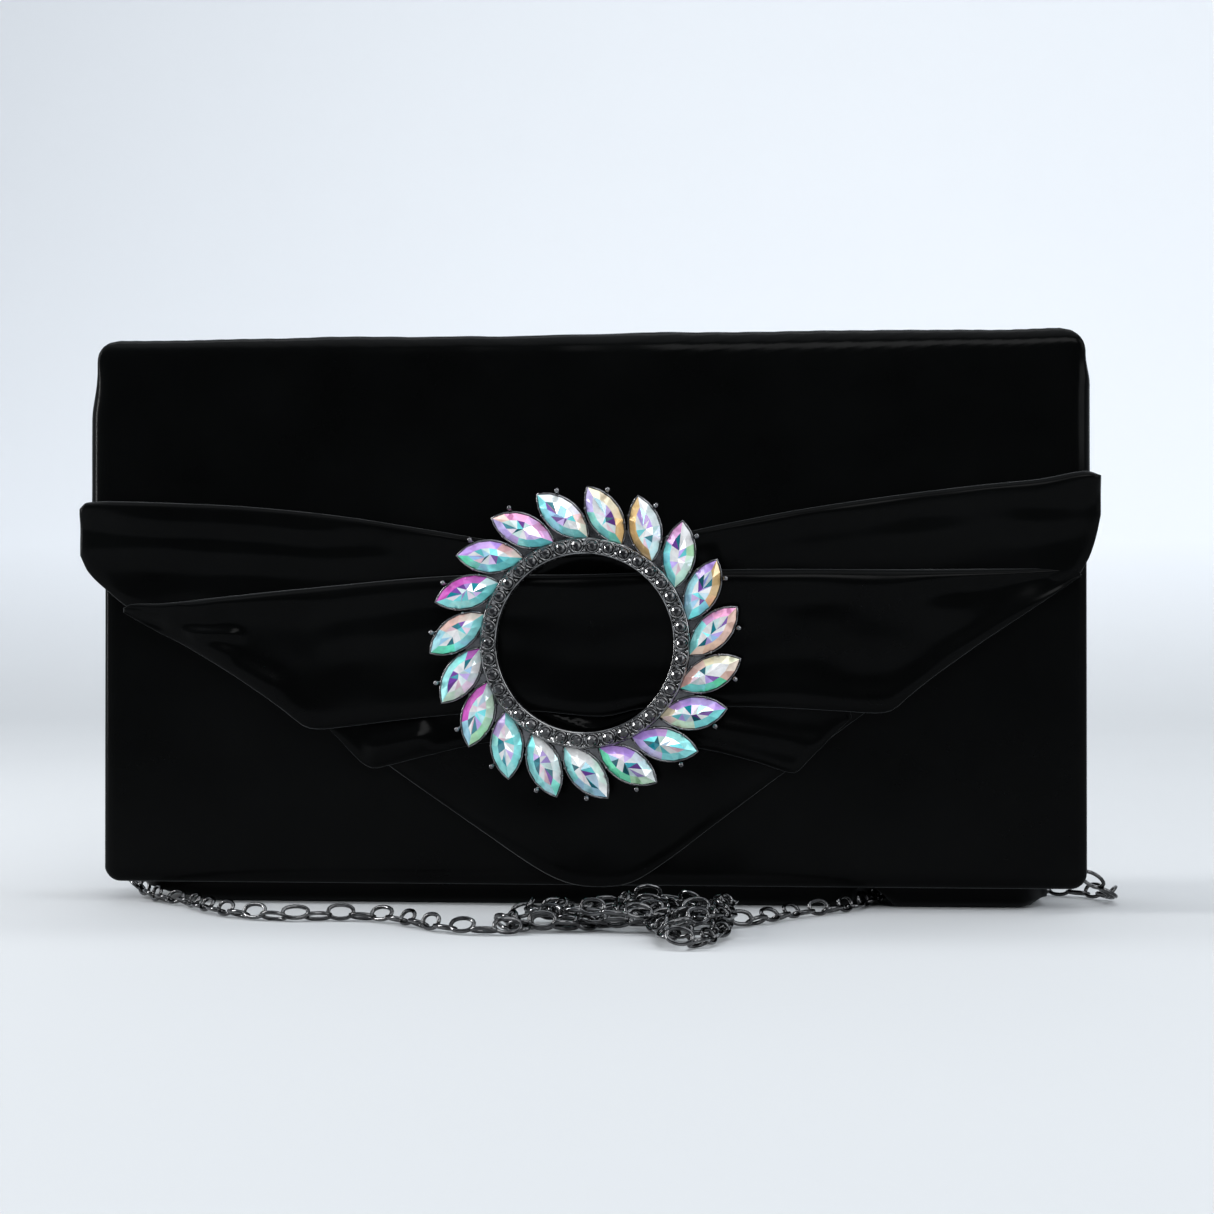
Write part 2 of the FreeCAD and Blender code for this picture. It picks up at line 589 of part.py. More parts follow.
# ---------------------------------------------------------------- chain
def cord_tube(label, points):
    """A tube along straight runs joined by tangent arcs, each as large as its runs allow."""
    radius = size("chain_wide") / 2
    corners = [FreeCAD.Vector(*point) for point in points]
    edges = []
    start = corners[0]
    radii = []
    for before, here, after in zip(corners, corners[1:], corners[2:]):
        back_way = before - here
        on_way = after - here
        shorter = min(back_way.Length, on_way.Length)
        half_turn = (math.pi - back_way.getAngle(on_way)) / 2
        reach = 0.45 * shorter
        bend = reach / math.tan(half_turn)
        radii.append(bend)
        back_unit = FreeCAD.Vector(back_way).normalize()
        on_unit = FreeCAD.Vector(on_way).normalize()
        entry = here + back_unit * reach
        leave = here + on_unit * reach
        inward = (back_unit + on_unit).normalize()
        middle = here + inward * (bend / math.cos(half_turn) - bend)
        edges.append(Part.LineSegment(start, entry).toShape())
        edges.append(Part.Arc(entry, middle, leave).toShape())
        start = leave
    edges.append(Part.LineSegment(start, corners[-1]).toShape())
    path = Part.Wire(edges)
    circle = Part.Circle(corners[0], corners[1] - corners[0], radius)
    tube = path.makePipeShell([Part.Wire([circle.toShape()])], True, False)
    expected = math.pi * radius ** 2 * path.Length
    print(label, "length", round(path.Length, 1), "volume share", round(tube.Volume / expected, 4),
          "radii", [round(bend, 1) for bend in radii])
    keep(label, feature(label + "_tube", tube))


cord_tube("chain_left", CHAIN_LEFT)
cord_tube("chain_right", CHAIN_RIGHT)


def heap_solid():
    """The outer shape of the piled chain: one layer near the bag, two further out."""
    def slab(outline, radius, height):
        """A flat layer with every corner rounded."""
        edges = [edge.toShape() for edge in rounded_path([(x, y, radius) for x, y in outline])]
        return Part.Face(Part.Wire(edges)).extrude(FreeCAD.Vector(0, 0, height))
    low = slab(HEAP_OUTLINE, 5.0, size("heap_low"))
    high = slab(HEAP_UPPER, 3.5, size("heap_high"))
    return low.fuse(high).removeSplitter()


keep("chain_heap", feature("chain_heap_solid", heap_solid()))

# ---------------------------------------------------------------- finish
doc.recompute()
for item in doc.Objects:
    assert not {"Invalid", "Error"} & set(item.State), f"{item.Name} {item.State}"
for label, thing in pieces.items():
    assert not thing.Shape.isNull() and thing.Shape.isValid(), label

os.makedirs("parts", exist_ok=True)
for label, thing in pieces.items():
    thing.Shape.exportStep(f"parts/{label}.step")
print(len(pieces), "pieces")
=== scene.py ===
import bisect
import math
import random

import bmesh
import bpy
from mathutils import Matrix, Vector, noise


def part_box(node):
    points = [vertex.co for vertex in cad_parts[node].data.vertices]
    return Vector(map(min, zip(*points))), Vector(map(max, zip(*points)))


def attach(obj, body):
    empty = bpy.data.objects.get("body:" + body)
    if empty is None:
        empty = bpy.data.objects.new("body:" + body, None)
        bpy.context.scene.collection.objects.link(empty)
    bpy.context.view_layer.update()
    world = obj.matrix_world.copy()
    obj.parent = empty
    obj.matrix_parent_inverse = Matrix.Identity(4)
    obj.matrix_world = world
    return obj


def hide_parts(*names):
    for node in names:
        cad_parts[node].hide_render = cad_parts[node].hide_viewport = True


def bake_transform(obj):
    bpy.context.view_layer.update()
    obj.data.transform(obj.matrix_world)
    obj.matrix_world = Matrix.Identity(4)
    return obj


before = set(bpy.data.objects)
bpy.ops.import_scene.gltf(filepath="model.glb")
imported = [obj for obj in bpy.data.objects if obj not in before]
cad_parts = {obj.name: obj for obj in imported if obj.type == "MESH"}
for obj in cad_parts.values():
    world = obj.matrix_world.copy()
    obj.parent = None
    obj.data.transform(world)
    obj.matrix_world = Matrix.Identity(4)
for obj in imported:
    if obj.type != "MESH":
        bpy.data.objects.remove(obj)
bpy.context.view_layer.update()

MM = 0.001
ROOT = "body"


# ---------------------------------------------------------------- small helpers
def lerp(a, b, share):
    return a + (b - a) * share


def smooth(value):
    value = min(1.0, max(0.0, value))
    return value * value * (3 - 2 * value)


def curve_through(knots):
    """A smooth function through (place, value) knots, level only where they are."""
    places = [knot[0] for knot in knots]
    values = [knot[1] for knot in knots]
    slopes = []
    for index in range(len(knots)):
        low = max(0, index - 1)
        high = min(len(knots) - 1, index + 1)
        slopes.append((values[high] - values[low]) / (places[high] - places[low]))

    def value_at(place):
        if place <= places[0]:
            return values[0]
        if place >= places[-1]:
            return values[-1]
        index = bisect.bisect_right(places, place) - 1
        gap = places[index + 1] - places[index]
        share = (place - places[index]) / gap
        s2 = share * share
        s3 = s2 * share
        return ((2 * s3 - 3 * s2 + 1) * values[index] + (s3 - 2 * s2 + share) * gap * slopes[index]
                + (3 * s2 - 2 * s3) * values[index + 1] + (s3 - s2) * gap * slopes[index + 1])

    return value_at


def new_object(name, data):
    made = bpy.data.objects.new(name, data)
    bpy.context.scene.collection.objects.link(made)
    return made


def paint(piece, material):
    piece.data.materials.clear()
    piece.data.materials.append(material)


def mend(mesh, merge=0.0, dissolve=0.0):
    """Turns all faces outwards, after merging points or dissolving slivers where a size is given."""
    work = bmesh.new()
    work.from_mesh(mesh)
    if merge:
        bmesh.ops.remove_doubles(work, verts=work.verts, dist=merge)
    if dissolve:
        bmesh.ops.dissolve_degenerate(work, dist=dissolve, edges=work.edges)
    bmesh.ops.recalc_face_normals(work, faces=work.faces)
    work.to_mesh(mesh)
    work.free()


def mesh_piece(name, vertices, faces, material, body=None, shade=True):
    """A new object from points in metres; it rides on a body unless that is left to the caller."""
    mesh = bpy.data.meshes.new(name)
    mesh.from_pydata([tuple(vertex) for vertex in vertices], [], faces)
    mend(mesh, merge=2e-6)
    for polygon in mesh.polygons:
        polygon.use_smooth = shade
    piece = new_object(name, mesh)
    if body:
        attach(piece, body)
    paint(piece, material)
    return piece


def tube_faces(faces, first, rings, around):
    """Joins rings of points, numbered one after another from first, into an open tube."""
    for ring in range(rings - 1):
        for step in range(around):
            a = first + ring * around + step
            b = first + ring * around + (step + 1) % around
            faces.append((a, b, b + around, a + around))


def capped_tube_faces(faces, first, rings, around):
    """The same tube with a flat face over each end."""
    tube_faces(faces, first, rings, around)
    faces.append(tuple(range(first + around - 1, first - 1, -1)))
    last = first + (rings - 1) * around
    faces.append(tuple(range(last, last + around)))


def hoop_faces(faces, first, rings, around):
    """Joins rings of points into a tube whose last ring meets its first."""
    for ring in range(rings):
        here = first + ring * around
        ahead = first + (ring + 1) % rings * around
        for turn in range(around):
            beside = (turn + 1) % around
            faces.append((here + turn, ahead + turn, ahead + beside, here + beside))


# ---------------------------------------------------------------- camera
LENS_MM = 79.2
SENSOR_MM = 36.0
CAMERA_PLACE = (0.0627, -0.6388, 0.0645)
CAMERA_TILT = math.radians(90.49)
CAMERA_TURN = math.radians(5.29)

camera_data = bpy.data.cameras.new("camera")
camera_data.lens = LENS_MM
camera_data.sensor_width = SENSOR_MM
camera_data.clip_start = 0.01
camera = new_object("camera", camera_data)
camera.location = CAMERA_PLACE
camera.rotation_euler = (CAMERA_TILT, 0.0, CAMERA_TURN)
bpy.context.scene.camera = camera


# ---------------------------------------------------------------- materials
class Shader:
    """A node material under construction, with short names for the nodes it uses."""

    def __init__(self, name):
        self.material = bpy.data.materials.new(name)
        self.material.use_nodes = True
        self.tree = self.material.node_tree
        self.surface = self.tree.nodes["Principled BSDF"]
        self.place = self.node("ShaderNodeTexCoord").outputs["Object"]

    def node(self, kind):
        return self.tree.nodes.new(kind)

    def link(self, source, target):
        self.tree.links.new(source, target)

    def set(self, **values):
        for socket, value in values.items():
            self.surface.inputs[socket.replace("_", " ")].default_value = value

    def noise(self, scale, detail=3.0, rough=0.5, stretch=None):
        texture = self.node("ShaderNodeTexNoise")
        texture.inputs["Scale"].default_value = scale
        texture.inputs["Detail"].default_value = detail
        texture.inputs["Roughness"].default_value = rough
        source = self.place
        if stretch:
            mapping = self.node("ShaderNodeMapping")
            mapping.inputs["Scale"].default_value = stretch
            self.link(self.place, mapping.inputs["Vector"])
            source = mapping.outputs["Vector"]
        self.link(source, texture.inputs["Vector"])
        return texture.outputs["Fac"]

    def ramp(self, source, low, high):
        """Noise gathers round its middle, so the shades change between 0.3 and 0.7 of it."""
        ramp = self.node("ShaderNodeValToRGB")
        ramp.color_ramp.elements[0].position = 0.3
        ramp.color_ramp.elements[1].position = 0.7
        ramp.color_ramp.elements[0].color = (*low, 1.0)
        ramp.color_ramp.elements[1].color = (*high, 1.0)
        self.link(source, ramp.inputs["Fac"])
        return ramp.outputs["Color"]

    def colour(self, source, low, high):
        self.link(self.ramp(source, low, high), self.surface.inputs["Base Color"])

    def roughness(self, source, low, high):
        remap = self.node("ShaderNodeMapRange")
        remap.inputs["To Min"].default_value = low
        remap.inputs["To Max"].default_value = high
        self.link(source, remap.inputs["Value"])
        self.link(remap.outputs["Result"], self.surface.inputs["Roughness"])

    def mixed_colour(self, share, first, second, blend="MIX"):
        """Base colour from two sources; share is how much of the second, or a source of it."""
        mix = self.node("ShaderNodeMix")
        mix.data_type = "RGBA"
        mix.blend_type = blend
        if isinstance(share, float):
            mix.inputs["Factor"].default_value = share
        else:
            self.link(share, mix.inputs["Factor"])
        self.link(first, mix.inputs["A"])
        self.link(second, mix.inputs["B"])
        self.link(mix.outputs["Result"], self.surface.inputs["Base Color"])

    def bump(self, source, strength, distance):
        bump = self.node("ShaderNodeBump")
        bump.inputs["Strength"].default_value = strength
        bump.inputs["Distance"].default_value = distance
        self.link(source, bump.inputs["Height"])
        self.link(bump.outputs["Normal"], self.surface.inputs["Normal"])


def velvet_material():
    """Black short-pile velvet: the flats swallow light, rolled edges and folds catch it."""
    shader = Shader("black_velvet")
    shader.set(Specular_IOR_Level=0.0, Sheen_Weight=0.14, Sheen_Roughness=0.36,
               Sheen_Tint=(0.93, 0.97, 1.0, 1.0), Coat_Weight=0.09, Coat_Roughness=0.19)
    nap = shader.noise(38.0, 5.0, 0.6)
    shader.colour(nap, (0.0005, 0.0006, 0.0006), (0.0016, 0.0018, 0.0018))
    shader.roughness(nap, 0.48, 0.66)
    shader.bump(shader.noise(2600.0, 2.0), 0.06, 0.0002)
    return shader.material


def lining_material():
    """Black satin with a fine warp line."""
    shader = Shader("black_satin")
    shader.set(Specular_IOR_Level=0.45, Anisotropic=0.6, Sheen_Weight=0.1)
    shader.colour(shader.noise(90.0, 4.0), (0.008, 0.008, 0.010), (0.020, 0.020, 0.024))
    shader.roughness(shader.noise(60.0), 0.28, 0.42)
    shader.bump(shader.noise(1500.0, 2.0, 0.5, (1.0, 1.0, 0.06)), 0.25, 0.0002)
    return shader.material


def board_material():
    """Grey pressed-fibre stiffening board."""
    shader = Shader("grey_board")
    shader.colour(shader.noise(700.0, 6.0), (0.10, 0.095, 0.085), (0.20, 0.19, 0.17))
    shader.set(Roughness=0.9)
    shader.bump(shader.noise(1800.0, 3.0), 0.3, 0.0002)
    return shader.material


def gunmetal_material(name, dark, light, rough_low, rough_high):
    """Polished plating with faint handling marks."""
    shader = Shader(name)
    shader.set(Metallic=1.0, Specular_IOR_Level=0.8)
    wear = shader.noise(420.0, 4.0)
    shader.colour(wear, dark, light)
    shader.roughness(wear, rough_low, rough_high)
    shader.bump(shader.noise(1600.0, 2.0), 0.05, 0.0001)
    return shader.material


def hematite_material():
    """Small black stones with a mirror-like face."""
    shader = Shader("hematite_stone")
    shader.set(Specular_IOR_Level=0.6, Coat_Weight=0.8, Coat_Roughness=0.02)
    shader.colour(shader.noise(500.0), (0.004, 0.004, 0.005), (0.016, 0.016, 0.018))
    shader.roughness(shader.noise(300.0), 0.03, 0.08)
    return shader.material


def crystal_material():
    """Iridescent-coated crystal: each facet carries its own tint, under a clear hard gloss; the tints
    are partly the coating's colour and partly painted reflection, highlight and shade.
    """
    shader = Shader("iridescent_crystal")
    shader.set(Metallic=0.25, Coat_Weight=1.0, Coat_Roughness=0.02, Specular_IOR_Level=0.9)
    tint = shader.node("ShaderNodeAttribute")
    tint.attribute_name = "tint"
    cloud = shader.ramp(shader.noise(650.0, 2.0), (0.80, 0.80, 0.80), (1.0, 1.0, 1.0))
    shader.mixed_colour(1.0, tint.outputs["Color"], cloud, "MULTIPLY")
    shader.roughness(shader.noise(400.0), 0.05, 0.16)
    return shader.material


# Two near shades each for the paper's floor and wall, and the height at which the wall's begins. It is
# one paper: the floor's darker shades are painted shade and the wall's lighter ones painted light.
FLOOR_PAINTED_SHADE_LOW = (0.555, 0.568, 0.580)
FLOOR_PAINTED_SHADE_HIGH = (0.570, 0.583, 0.595)
WALL_PAINTED_LIGHT_LOW = (0.80, 0.825, 0.86)
WALL_PAINTED_LIGHT_HIGH = (0.81, 0.835, 0.87)
WALL_FROM = 0.14


def studio_material():
    """Pale paper of one kind, painted a darker cool grey on the floor and lighter where it rises into
    the wall: painted shade and painted light.
    """
    shader = Shader("pale_sweep")
    shader.set(Roughness=0.8, Specular_IOR_Level=0.15)
    split = shader.node("ShaderNodeSeparateXYZ")
    shader.link(shader.place, split.inputs["Vector"])
    rise = shader.node("ShaderNodeMapRange")
    rise.inputs["From Max"].default_value = WALL_FROM
    shader.link(split.outputs["Z"], rise.inputs["Value"])
    cloud = shader.noise(2.2, 3.0)
    shader.mixed_colour(rise.outputs["Result"], shader.ramp(cloud, FLOOR_PAINTED_SHADE_LOW, FLOOR_PAINTED_SHADE_HIGH),
                        shader.ramp(cloud, WALL_PAINTED_LIGHT_LOW, WALL_PAINTED_LIGHT_HIGH))
    return shader.material


VELVET = velvet_material()
LINING = lining_material()
BOARD = board_material()
GUNMETAL = gunmetal_material("gunmetal", (0.10, 0.10, 0.105), (0.24, 0.24, 0.25), 0.12, 0.24)
CHAIN_METAL = gunmetal_material("gunmetal_chain", (0.03, 0.03, 0.031), (0.16, 0.16, 0.162), 0.04, 0.10)
# The band's metal is a lighter copy of the gunmetal: partly its own tone, partly painted light standing
# in for reflections the dim room in front does not give.
BROOCH_LIGHTENED_METAL = gunmetal_material("gunmetal_painted_lighter", (0.08, 0.08, 0.081), (0.32, 0.32, 0.322), 0.05, 0.14)
STEEL = gunmetal_material("plated_magnet", (0.35, 0.35, 0.36), (0.5, 0.5, 0.5), 0.2, 0.35)
HEMATITE = hematite_material()
CRYSTAL = crystal_material()

# ---------------------------------------------------------------- chain
CHAIN_LEFT = [
    (-107.0, 0.0, 96.4), (-106.8, 0.6, 66.0), (-107.6, -0.4, 42.0), (-108.2, 0.4, 28.5),
    (-114.8, 0.2, 19.5), (-117.0, -0.6, 10.5), (-110.8, -3.6, 3.6), (-105.2, -11.6, 2.1),
    (-100.2, -20.4, 2.1), (-91.6, -28.0, 2.1), (-85.0, -40.0, 2.1), (-75.5, -52.0, 2.1),
    (-63.0, -58.0, 2.1), (-50.5, -54.0, 2.1), (-39.0, -57.0, 2.1), (-30.0, -70.0, 2.1),
    (-18.5, -80.5, 2.1), (-5.0, -78.0, 2.1),
]
CHAIN_RIGHT = [
    (36.0, -63.0, 2.1), (44.5, -52.0, 2.1), (50.0, -39.5, 2.1), (59.5, -29.5, 2.1),
    (65.4, -16.5, 2.1), (69.0, -2.0, 2.1), (74.6, 12.0, 2.1), (87.0, 18.8, 2.1),
    (101.0, 18.6, 2.1), (113.6, 15.4, 2.1), (122.0, 7.2, 2.1), (123.6, -4.6, 3.0),
    (115.6, -8.4, 7.5), (108.6, -2.8, 14.5), (107.6, 0.4, 26.5), (106.6, -0.4, 45.0),
    (107.4, 0.4, 70.0), (107.0, 0.0, 96.4),
]

# The heap: centre, half widths and height of each loose turn, in order along the chain.
HEAP_TURNS = [
    (-4.0, -68.0, 10.0, 8.0, 2.1), (-1.0, -62.0, 12.0, 9.5, 2.4), (7.0, -60.0, 14.0, 12.0, 3.8),
    (12.0, -67.0, 14.0, 10.0, 5.2), (18.0, -60.0, 14.0, 12.0, 3.2), (28.0, -70.0, 9.0, 14.0, 2.6),
    (28.5, -89.0, 5.5, 12.0, 2.4), (29.0, -82.0, 7.0, 17.0, 4.6), (24.0, -61.0, 12.0, 11.0, 6.2),
    (28.0, -60.0, 11.0, 8.0, 3.4),
]
HEAP_STEPS = 12
HEAP_START = math.radians(200.0)
HEAP_CLIMB = 0.9
CHAIN_LOW = 2.1


def heap_points():
    """Loose turns that differ in size, wander and climb over each other."""
    points = []
    count = len(HEAP_TURNS)
    tracks = [curve_through([(index, turn[part]) for index, turn in enumerate(HEAP_TURNS)])
              for part in range(5)]
    for step in range((count - 1) * HEAP_STEPS):
        along = step / HEAP_STEPS
        angle = HEAP_START + 2 * math.pi * along
        wobble = 1.0 + 0.10 * math.sin(angle * 2.4 + 1.0)
        x = tracks[0](along) + tracks[2](along) * wobble * math.cos(angle)
        y = tracks[1](along) + tracks[3](along) * wobble * math.sin(angle)
        z = tracks[4](along) + HEAP_CLIMB * math.sin(angle * 1.7)
        points.append((x, y, max(CHAIN_LOW, z)))
    return points


def nurbs_line(points):
    """Points in metres along the smooth spline that has these control points."""
    data = bpy.data.curves.new("route", "CURVE")
    data.dimensions = "3D"
    spline = data.splines.new("NURBS")
    spline.points.add(len(points) - 1)
    for target, point in zip(spline.points, points):
        target.co = (point[0] * MM, point[1] * MM, point[2] * MM, 1.0)
    spline.order_u = 3
    spline.use_endpoint_u = True
    spline.resolution_u = 12
    holder = new_object("route", data)
    bpy.context.view_layer.update()
    line = bpy.data.meshes.new_from_object(holder)
    route = [vertex.co.copy() for vertex in line.vertices]
    bpy.data.objects.remove(holder)
    bpy.data.curves.remove(data)
    bpy.data.meshes.remove(line)
    return route


def walk(route, spacing):
    """(place, direction) at equal steps along a route."""
    stops = []
    needed = spacing / 2
    travelled = 0.0
    for start, end in zip(route, route[1:]):
        run = (end - start).length
        while run > 0 and travelled + run >= needed:
            stops.append((start.lerp(end, (needed - travelled) / run), (end - start).normalized()))
            needed += spacing
        travelled += run
    return stops, travelled


LINK_ROD = 0.47 * MM
LINK_HALF_LONG = 3.3 * MM
LINK_HALF_WIDE = 2.1 * MM
LINK_PITCH = 5.0 * MM
LINK_SETTLES = 0.9 * MM
LINK_FLOOR = 0.05 * MM
LINK_ROLLS = (58.0, -20.0)
LINK_ROLL_PLAY = 0.25
END_LINKS = 4


def link_mesh(place, direction, roll, vertices, faces):
    """One oval cable link of round wire, long the way the chain runs."""
    around = 18
    section = 8
    across = Vector((0, 0, 1)).cross(direction)
    if across.length < 0.2:
        across = Vector((0, 1, 0)).cross(direction)
    across.normalize()
    up = direction.cross(across).normalized()
    side = across * math.cos(roll) + up * math.sin(roll)
    lift = direction.cross(side)
    first = len(vertices)
    for step in range(around):
        angle = 2 * math.pi * step / around
        bow = (LINK_HALF_LONG - LINK_ROD) * math.cos(angle)
        half = (LINK_HALF_WIDE - LINK_ROD) * math.copysign(abs(math.sin(angle)) ** 0.8, math.sin(angle))
        centre = place + direction * bow + side * half
        outward = (direction * math.cos(angle) * 0.7 + side * math.sin(angle)).normalized()
        for turn in range(section):
            tilt = 2 * math.pi * turn / section
            vertices.append(centre + outward * (LINK_ROD * math.cos(tilt))
                            + lift * (LINK_ROD * math.sin(tilt)))
    hoop_faces(faces, first, around, section)


def build_chain():
    """Every link from ring to ring; the few nearest each ring are kept as pieces of their own."""
    dice = random.Random(7)
    route = nurbs_line(CHAIN_LEFT + heap_points() + CHAIN_RIGHT)
    stops, length = walk(route, LINK_PITCH)
    numbered = list(enumerate(stops))
    groups = {"chain_end_left": numbered[:END_LINKS],
              "chain_links": numbered[END_LINKS:-END_LINKS],
              "chain_end_right": numbered[-END_LINKS:]}
    made = {}
    for name, members in groups.items():
        vertices = []
        faces = []
        for index, (place, direction) in members:
            lying = abs(direction.z) < 0.5
            roll = math.radians(LINK_ROLLS[index % 2]) + dice.uniform(-LINK_ROLL_PLAY, LINK_ROLL_PLAY)
            spot = place.copy()
            if lying and index % 2:
                spot.z -= LINK_SETTLES
            link_mesh(spot, direction, roll, vertices, faces)
        for vertex in vertices:
            vertex.z = max(vertex.z, LINK_FLOOR)
        made[name] = mesh_piece(name, vertices, faces, CHAIN_METAL)
    for side in ("left", "right"):
        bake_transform(made[f"chain_end_{side}"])
    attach(made["chain_links"], ROOT)
    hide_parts("chain_left", "chain_heap", "chain_right")
    print("chain length", round(length, 4), "links", len(stops))


build_chain()


# ---------------------------------------------------------------- soft shells
def spread(count, edge):
    """Shares from 0 to 1 that crowd towards both ends."""
    shares = []
    for index in range(count + 1):
        share = index / count
        shares.append(lerp(share, 0.5 - 0.5 * math.cos(math.pi * share), edge))
    return shares


def shell(name, left, right, low, top, place, roll, columns=140, rows=44, edge=0.85, crisp=1.0):
    """A closed soft panel. It is a front and a back sheet that meet in a rolled edge.

    low and top give its outline at each x; place(x, v, k) gives the point whose share k of the
    thickness lies in front of the middle (1) or behind it (-1). roll is how far in from the
    edge the rounding starts, and crisp makes the upper edge that many times tighter.
    """
    vertices = []
    faces = []
    shares_across = spread(columns, edge)
    shares_up = spread(rows, edge)
    for sign in (1, -1):
        for share in shares_across:
            x = lerp(left, right, share)
            bottom = low(x)
            head = top(x)
            slope_low = low(x + 0.5) - low(x - 0.5)
            slope_top = top(x + 0.5) - top(x - 0.5)
            for part in shares_up:
                v = lerp(bottom, head, part)
                near = min(x - left, right - x,
                           (v - bottom) / math.hypot(1, slope_low),
                           crisp * (head - v) / math.hypot(1, slope_top))
                inward = 1 - min(1.0, max(0.0, near / roll))
                k = sign * math.sqrt(max(0.0, 1 - inward * inward))
                vertices.append(place(x, v, k) * MM)
    tall = rows + 1
    sheet_size = (columns + 1) * tall
    for side in (0, 1):
        for column in range(columns):
            for row in range(rows):
                a = side * sheet_size + column * tall + row
                faces.append((a, a + tall, a + tall + 1, a + 1))
    piece = mesh_piece(name, vertices, faces, VELVET)
    mend(piece.data, dissolve=1e-6)
    return piece


def ripple(x, z, seed, scale):
    """Slow unevenness of stuffed cloth, from -1 to 1."""
    return noise.noise(Vector((x * scale, z * scale, seed)))


def ridge(x, z, start, end, wide, high):
    """Height of a soft fold that runs from start to end in X and Z."""
    dx = end[0] - start[0]
    dz = end[1] - start[1]
    long = dx * dx + dz * dz
    share = ((x - start[0]) * dx + (z - start[1]) * dz) / long
    fade = smooth(share * 4 + 0.5) * smooth((1 - share) * 4 + 0.5)
    off = abs((x - start[0]) * dz - (z - start[1]) * dx) / math.sqrt(long)
    return high * math.exp(-(off / wide) ** 2) * fade


def folds(x, z, creases):
    """Height of several soft folds together; each crease is a start, an end, a width and a height."""
    total = 0.0
    for crease in creases:
        total += ridge(x, z, *crease)
    return total


def corner_drop(x, half, radius):
    """How far a rounded corner of this radius pulls an edge in at x."""
    inside = abs(x) - (half - radius)
    if inside <= 0:
        return 0.0
    return radius - math.sqrt(max(0.0, radius * radius - min(inside, radius) ** 2))


HALF_PANEL = 113.5
LOW_CORNER = 3.8
BULGE_LEFT = 0.8
BULGE_RIGHT = 2.3
PANEL_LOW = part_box("front_cover")[0][2] / MM
PANEL_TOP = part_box("front_cover")[1][2] / MM
WALL_OUT = -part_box("front_cover")[0][1] / MM
WALL_MIDDLE = WALL_OUT - 1.5


def stretched(x):
    """The padded walls bulge a little past their boards, more on the right."""
    bulge = BULGE_RIGHT if x > 0 else BULGE_LEFT
    return x + math.copysign(bulge, x) * smooth((abs(x) - 60) / 50)


def front_skin():
    """The front wall: padded velvet turned over its board."""
    def place(x, v, k):
        puff = 0.35 * ripple(x, v, 3.1, 0.03)
        thick = 1.6 + (0.3 + puff if k > 0 else 0.0)
        return Vector((stretched(x), -(WALL_MIDDLE + k * thick), v))

    front_panel = shell("front_panel", -HALF_PANEL, HALF_PANEL,
                        lambda x: PANEL_LOW + corner_drop(x, HALF_PANEL, LOW_CORNER),
                        lambda x: PANEL_TOP - corner_drop(x, HALF_PANEL, 3.0),
                        place, 3.2, columns=110, rows=60, edge=0.93)
    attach(front_panel, "front_wall")
    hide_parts("front_cover")


front_skin()


FLAP_HALF = 115.4
FLAP_SKIN = 1.0
CREASE = 3.6
TOP_OUT = 133.1
LID_RUN = 35.0
SHOULDER = 5.0
SIDE_ROLL = 5.5
CURL = 2.8
FACE_OUT = -23.0
flap_tip = curve_through([
    (-116.0, 84.0), (-113.0, 79.2), (-96.0, 67.6), (-70.0, 50.0), (-44.5, 32.0), (-24.0, 17.9),
    (-10.0, 8.6), (-3.0, 5.6), (4.0, 4.9), (11.0, 5.9), (18.0, 10.0), (32.0, 20.6), (45.5, 30.8),
    (70.0, 49.0), (96.0, 67.5), (112.0, 80.5), (116.0, 86.0)])


def over_top(v, inset):
    """Y, Z and outward direction at v along the flap: up the front, round the crease, to the back."""
    radius = CREASE - inset
    straight = TOP_OUT - CREASE
    if v <= straight:
        return FACE_OUT + inset, v, (-1.0, 0.0)
    arc = radius * math.pi / 2
    if v <= straight + arc:
        angle = (v - straight) / radius
        return (FACE_OUT + CREASE - radius * math.cos(angle), straight + radius * math.sin(angle),
                (-math.cos(angle), math.sin(angle)))
    return FACE_OUT + CREASE + v - straight - arc, TOP_OUT - inset, (0.0, 1.0)


def flap_skin():
    """The flap's covering in one piece, from the tip over the front crease to the back edge."""
    def place(x, v, k):
        y, z, (out_y, out_z) = over_top(v, FLAP_SKIN)
        puff = 0.45 * ripple(x, z, 8.2, 0.028) + 0.25 * ripple(x, z, 2.2, 0.07)
        thick = k * FLAP_SKIN + (puff * k if k > 0 else 0.0)
        rounding = min(1.0, max(0.0, z - TOP_OUT + FLAP_SKIN + SHOULDER) / SHOULDER)
        corner = 1 - math.sqrt(1 - rounding * rounding)
        if x < 0:
            spread_out = 1.9 * smooth((128 - z) / 14) - 2.8 * corner
        else:
            spread_out = 1.1 * smooth((127 - z) / 7) - 4.0 * corner
        near_side = min(1.0, max(0.0, abs(x) - FLAP_HALF + SIDE_ROLL) / SIDE_ROLL)
        curl = CURL * (1 - math.sqrt(1 - near_side * near_side)) * smooth((130 - z) / 12)
        z += (0.4 + 0.45 * x / FLAP_HALF) * smooth((z - 100) / 30)
        x += math.copysign(1.0, x) * spread_out * smooth((abs(x) - 70) / 40)
        return Vector((x, y + out_y * (thick - curl), z + out_z * (thick - curl)))

    end = TOP_OUT - CREASE + (CREASE - FLAP_SKIN) * math.pi / 2 + LID_RUN
    piece = shell("flap_skin", -FLAP_HALF, FLAP_HALF, flap_tip,
                  lambda x: end - corner_drop(x, FLAP_HALF, 3.0), place, 3.6,
                  columns=150, rows=110, edge=0.8)
    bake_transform(piece)
    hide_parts("flap_cover", "flap_top_cover")


flap_skin()


